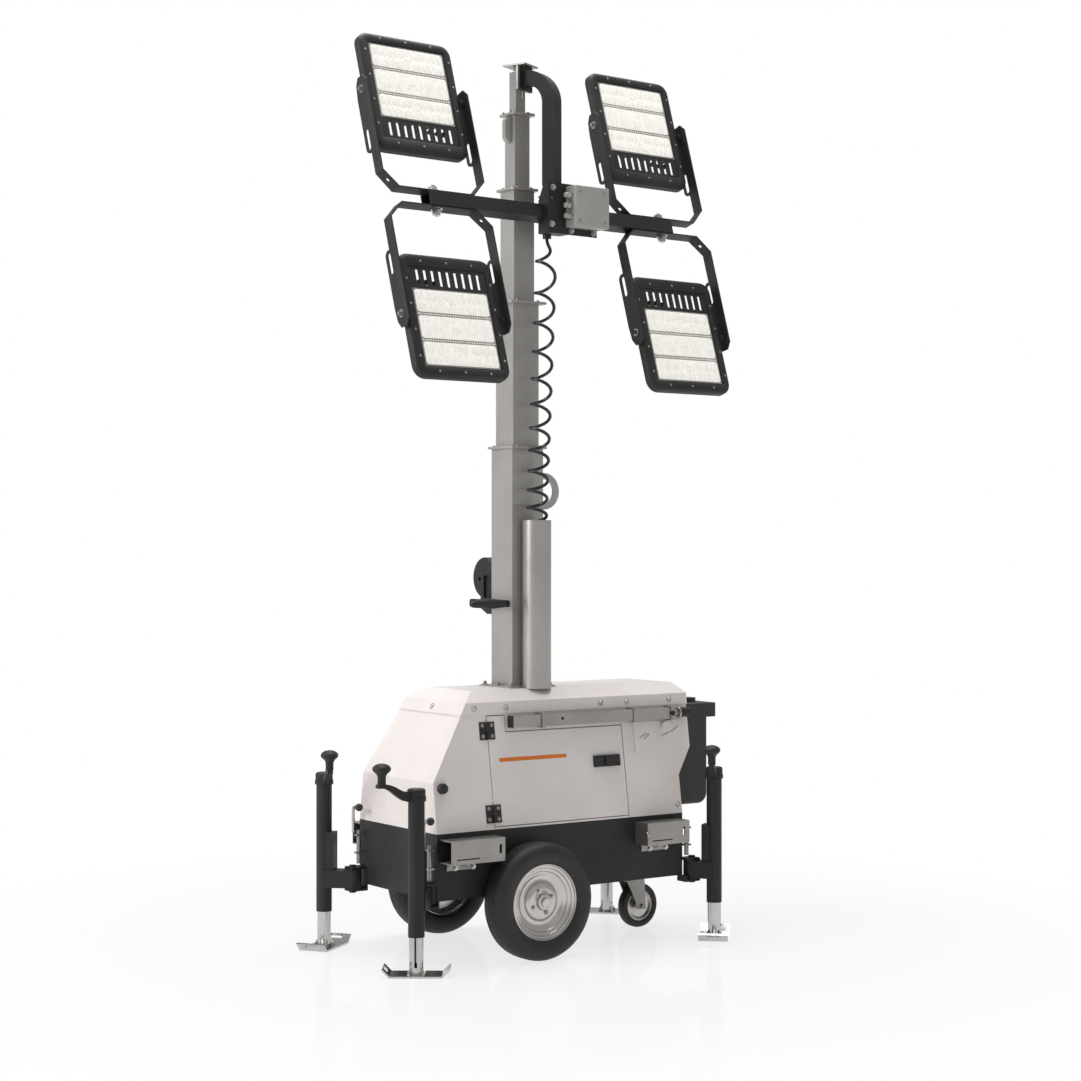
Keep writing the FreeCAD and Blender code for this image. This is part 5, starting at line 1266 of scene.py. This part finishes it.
# %% Stripe
STRIPE_Z, STRIPE_H = 0.668, 0.013
STRIPE_SPAN = (-0.222, 0.056)
for name, side in SIDES:
    def stripe(shape):
        ends = [wall_point(side, x, STRIPE_Z, 0.0003) for x in STRIPE_SPAN]
        normal = ends[0][1]
        centre = (ends[0][0] + ends[1][0]) / 2
        rise = normal.cross(ALONG).normalized()
        axes = Matrix((ALONG, rise, ALONG.cross(rise))).transposed().to_4x4()
        slab(shape, (STRIPE_SPAN[1] - STRIPE_SPAN[0], STRIPE_H, 0.0004),
             moved(centre) @ axes, 0)

    made_piece("stripe_" + name, stripe, "stripe_orange", "door_" + name)

# %% [markdown]
# ## The studio
# A pale floor and even light show the machine without tinting it. The floor is slightly glossy,
# so the wheels and feet mirror softly, and far away it fades to pure white like the backdrop.

# %% Floor
FLOOR_HALF = 30.0
floor_mesh = shape_mesh("floor", lambda shape: bmesh.ops.create_grid(
    shape, x_segments=1, y_segments=1, size=FLOOR_HALF))
floor = add_object("floor", floor_mesh)
floor_finish = Finish("floor_white")
tree = floor_finish.tree
distance = floor_finish.node("ShaderNodeVectorMath", {"operation": "LENGTH"})
feed(tree, distance.inputs[0], floor_finish.place)
FADE_FROM, FADE_TO = 1.0, 2.6
far_away = floor_finish.between(distance.outputs["Value"], FADE_FROM, FADE_TO)
floor_finish.paint(Base_Color=(0.86, 0.86, 0.86), Roughness=0.07, Specular_IOR_Level=0.5)
white = floor_finish.node("ShaderNodeEmission", Color=(1.0, 1.0, 1.0), Strength=1.0)
seen = floor_finish.node("ShaderNodeLightPath")
eye = Term(tree, seen.outputs["Is Camera Ray"]) + Term(tree, seen.outputs["Is Glossy Ray"])
NEAR_WHITE = 0.74
blend_shader = floor_finish.node("ShaderNodeMixShader",
                                 Fac=eye * (far_away * (1 - NEAR_WHITE) + NEAR_WHITE))
tree.links.new(floor_finish.shader.outputs[0], blend_shader.inputs[1])
tree.links.new(white.outputs[0], blend_shader.inputs[2])
output = next(n for n in tree.nodes if n.type == "OUTPUT_MATERIAL")
tree.links.new(blend_shader.outputs[0], output.inputs["Surface"])
floor_mesh.materials.append(floor_finish.material)

# %% World and lamps
world = bpy.data.worlds.new("studio")
bpy.context.scene.world = world
world.use_nodes = True
sky = world.node_tree
background = next(n for n in sky.nodes if n.type == "BACKGROUND")
WORLD_LEVEL = 0.43
feed(sky, background.inputs["Color"], (1.0, 1.0, 1.0))
feed(sky, background.inputs["Strength"], WORLD_LEVEL)
shown = add_node(sky, "ShaderNodeBackground", Color=(1.0, 1.0, 1.0), Strength=1.0)
rays = add_node(sky, "ShaderNodeLightPath")
seen = [Term(sky, rays.outputs["Is %s Ray" % kind]) for kind in ("Camera", "Transmission")]
chosen = add_node(sky, "ShaderNodeMixShader", Fac=seen[0].sum_node("MAXIMUM", seen[1]))
sky.links.new(background.outputs[0], chosen.inputs[1])
sky.links.new(shown.outputs[0], chosen.inputs[2])
sky_out = next(n for n in sky.nodes if n.type == "OUTPUT_WORLD")
sky.links.new(chosen.outputs[0], sky_out.inputs["Surface"])
# Each lamp's name, place, aim, size in metres and power in watts.
LAMPS = (("key_left", (-6.2, 1.4, 3.4), (0, 0, 1.0), 3.4, 215),
         ("fill_front", (-0.5, -7.5, 4.2), (0, 0, 1.2), 4.0, 8),
         ("top", (0.4, 0.7, 7.0), (0, 0, 0.5), 4.5, 420))
for name, place, aim, size, watts in LAMPS:
    data = bpy.data.lights.new(name, "AREA")
    data.shape, data.size, data.energy = "SQUARE", size, watts
    lamp = add_object(name, data)
    lamp.location = place
    lamp.rotation_euler = (Vector(aim) - Vector(place)).to_track_quat("-Z", "Y").to_euler()
bpy.context.scene.view_settings.view_transform = "Standard"
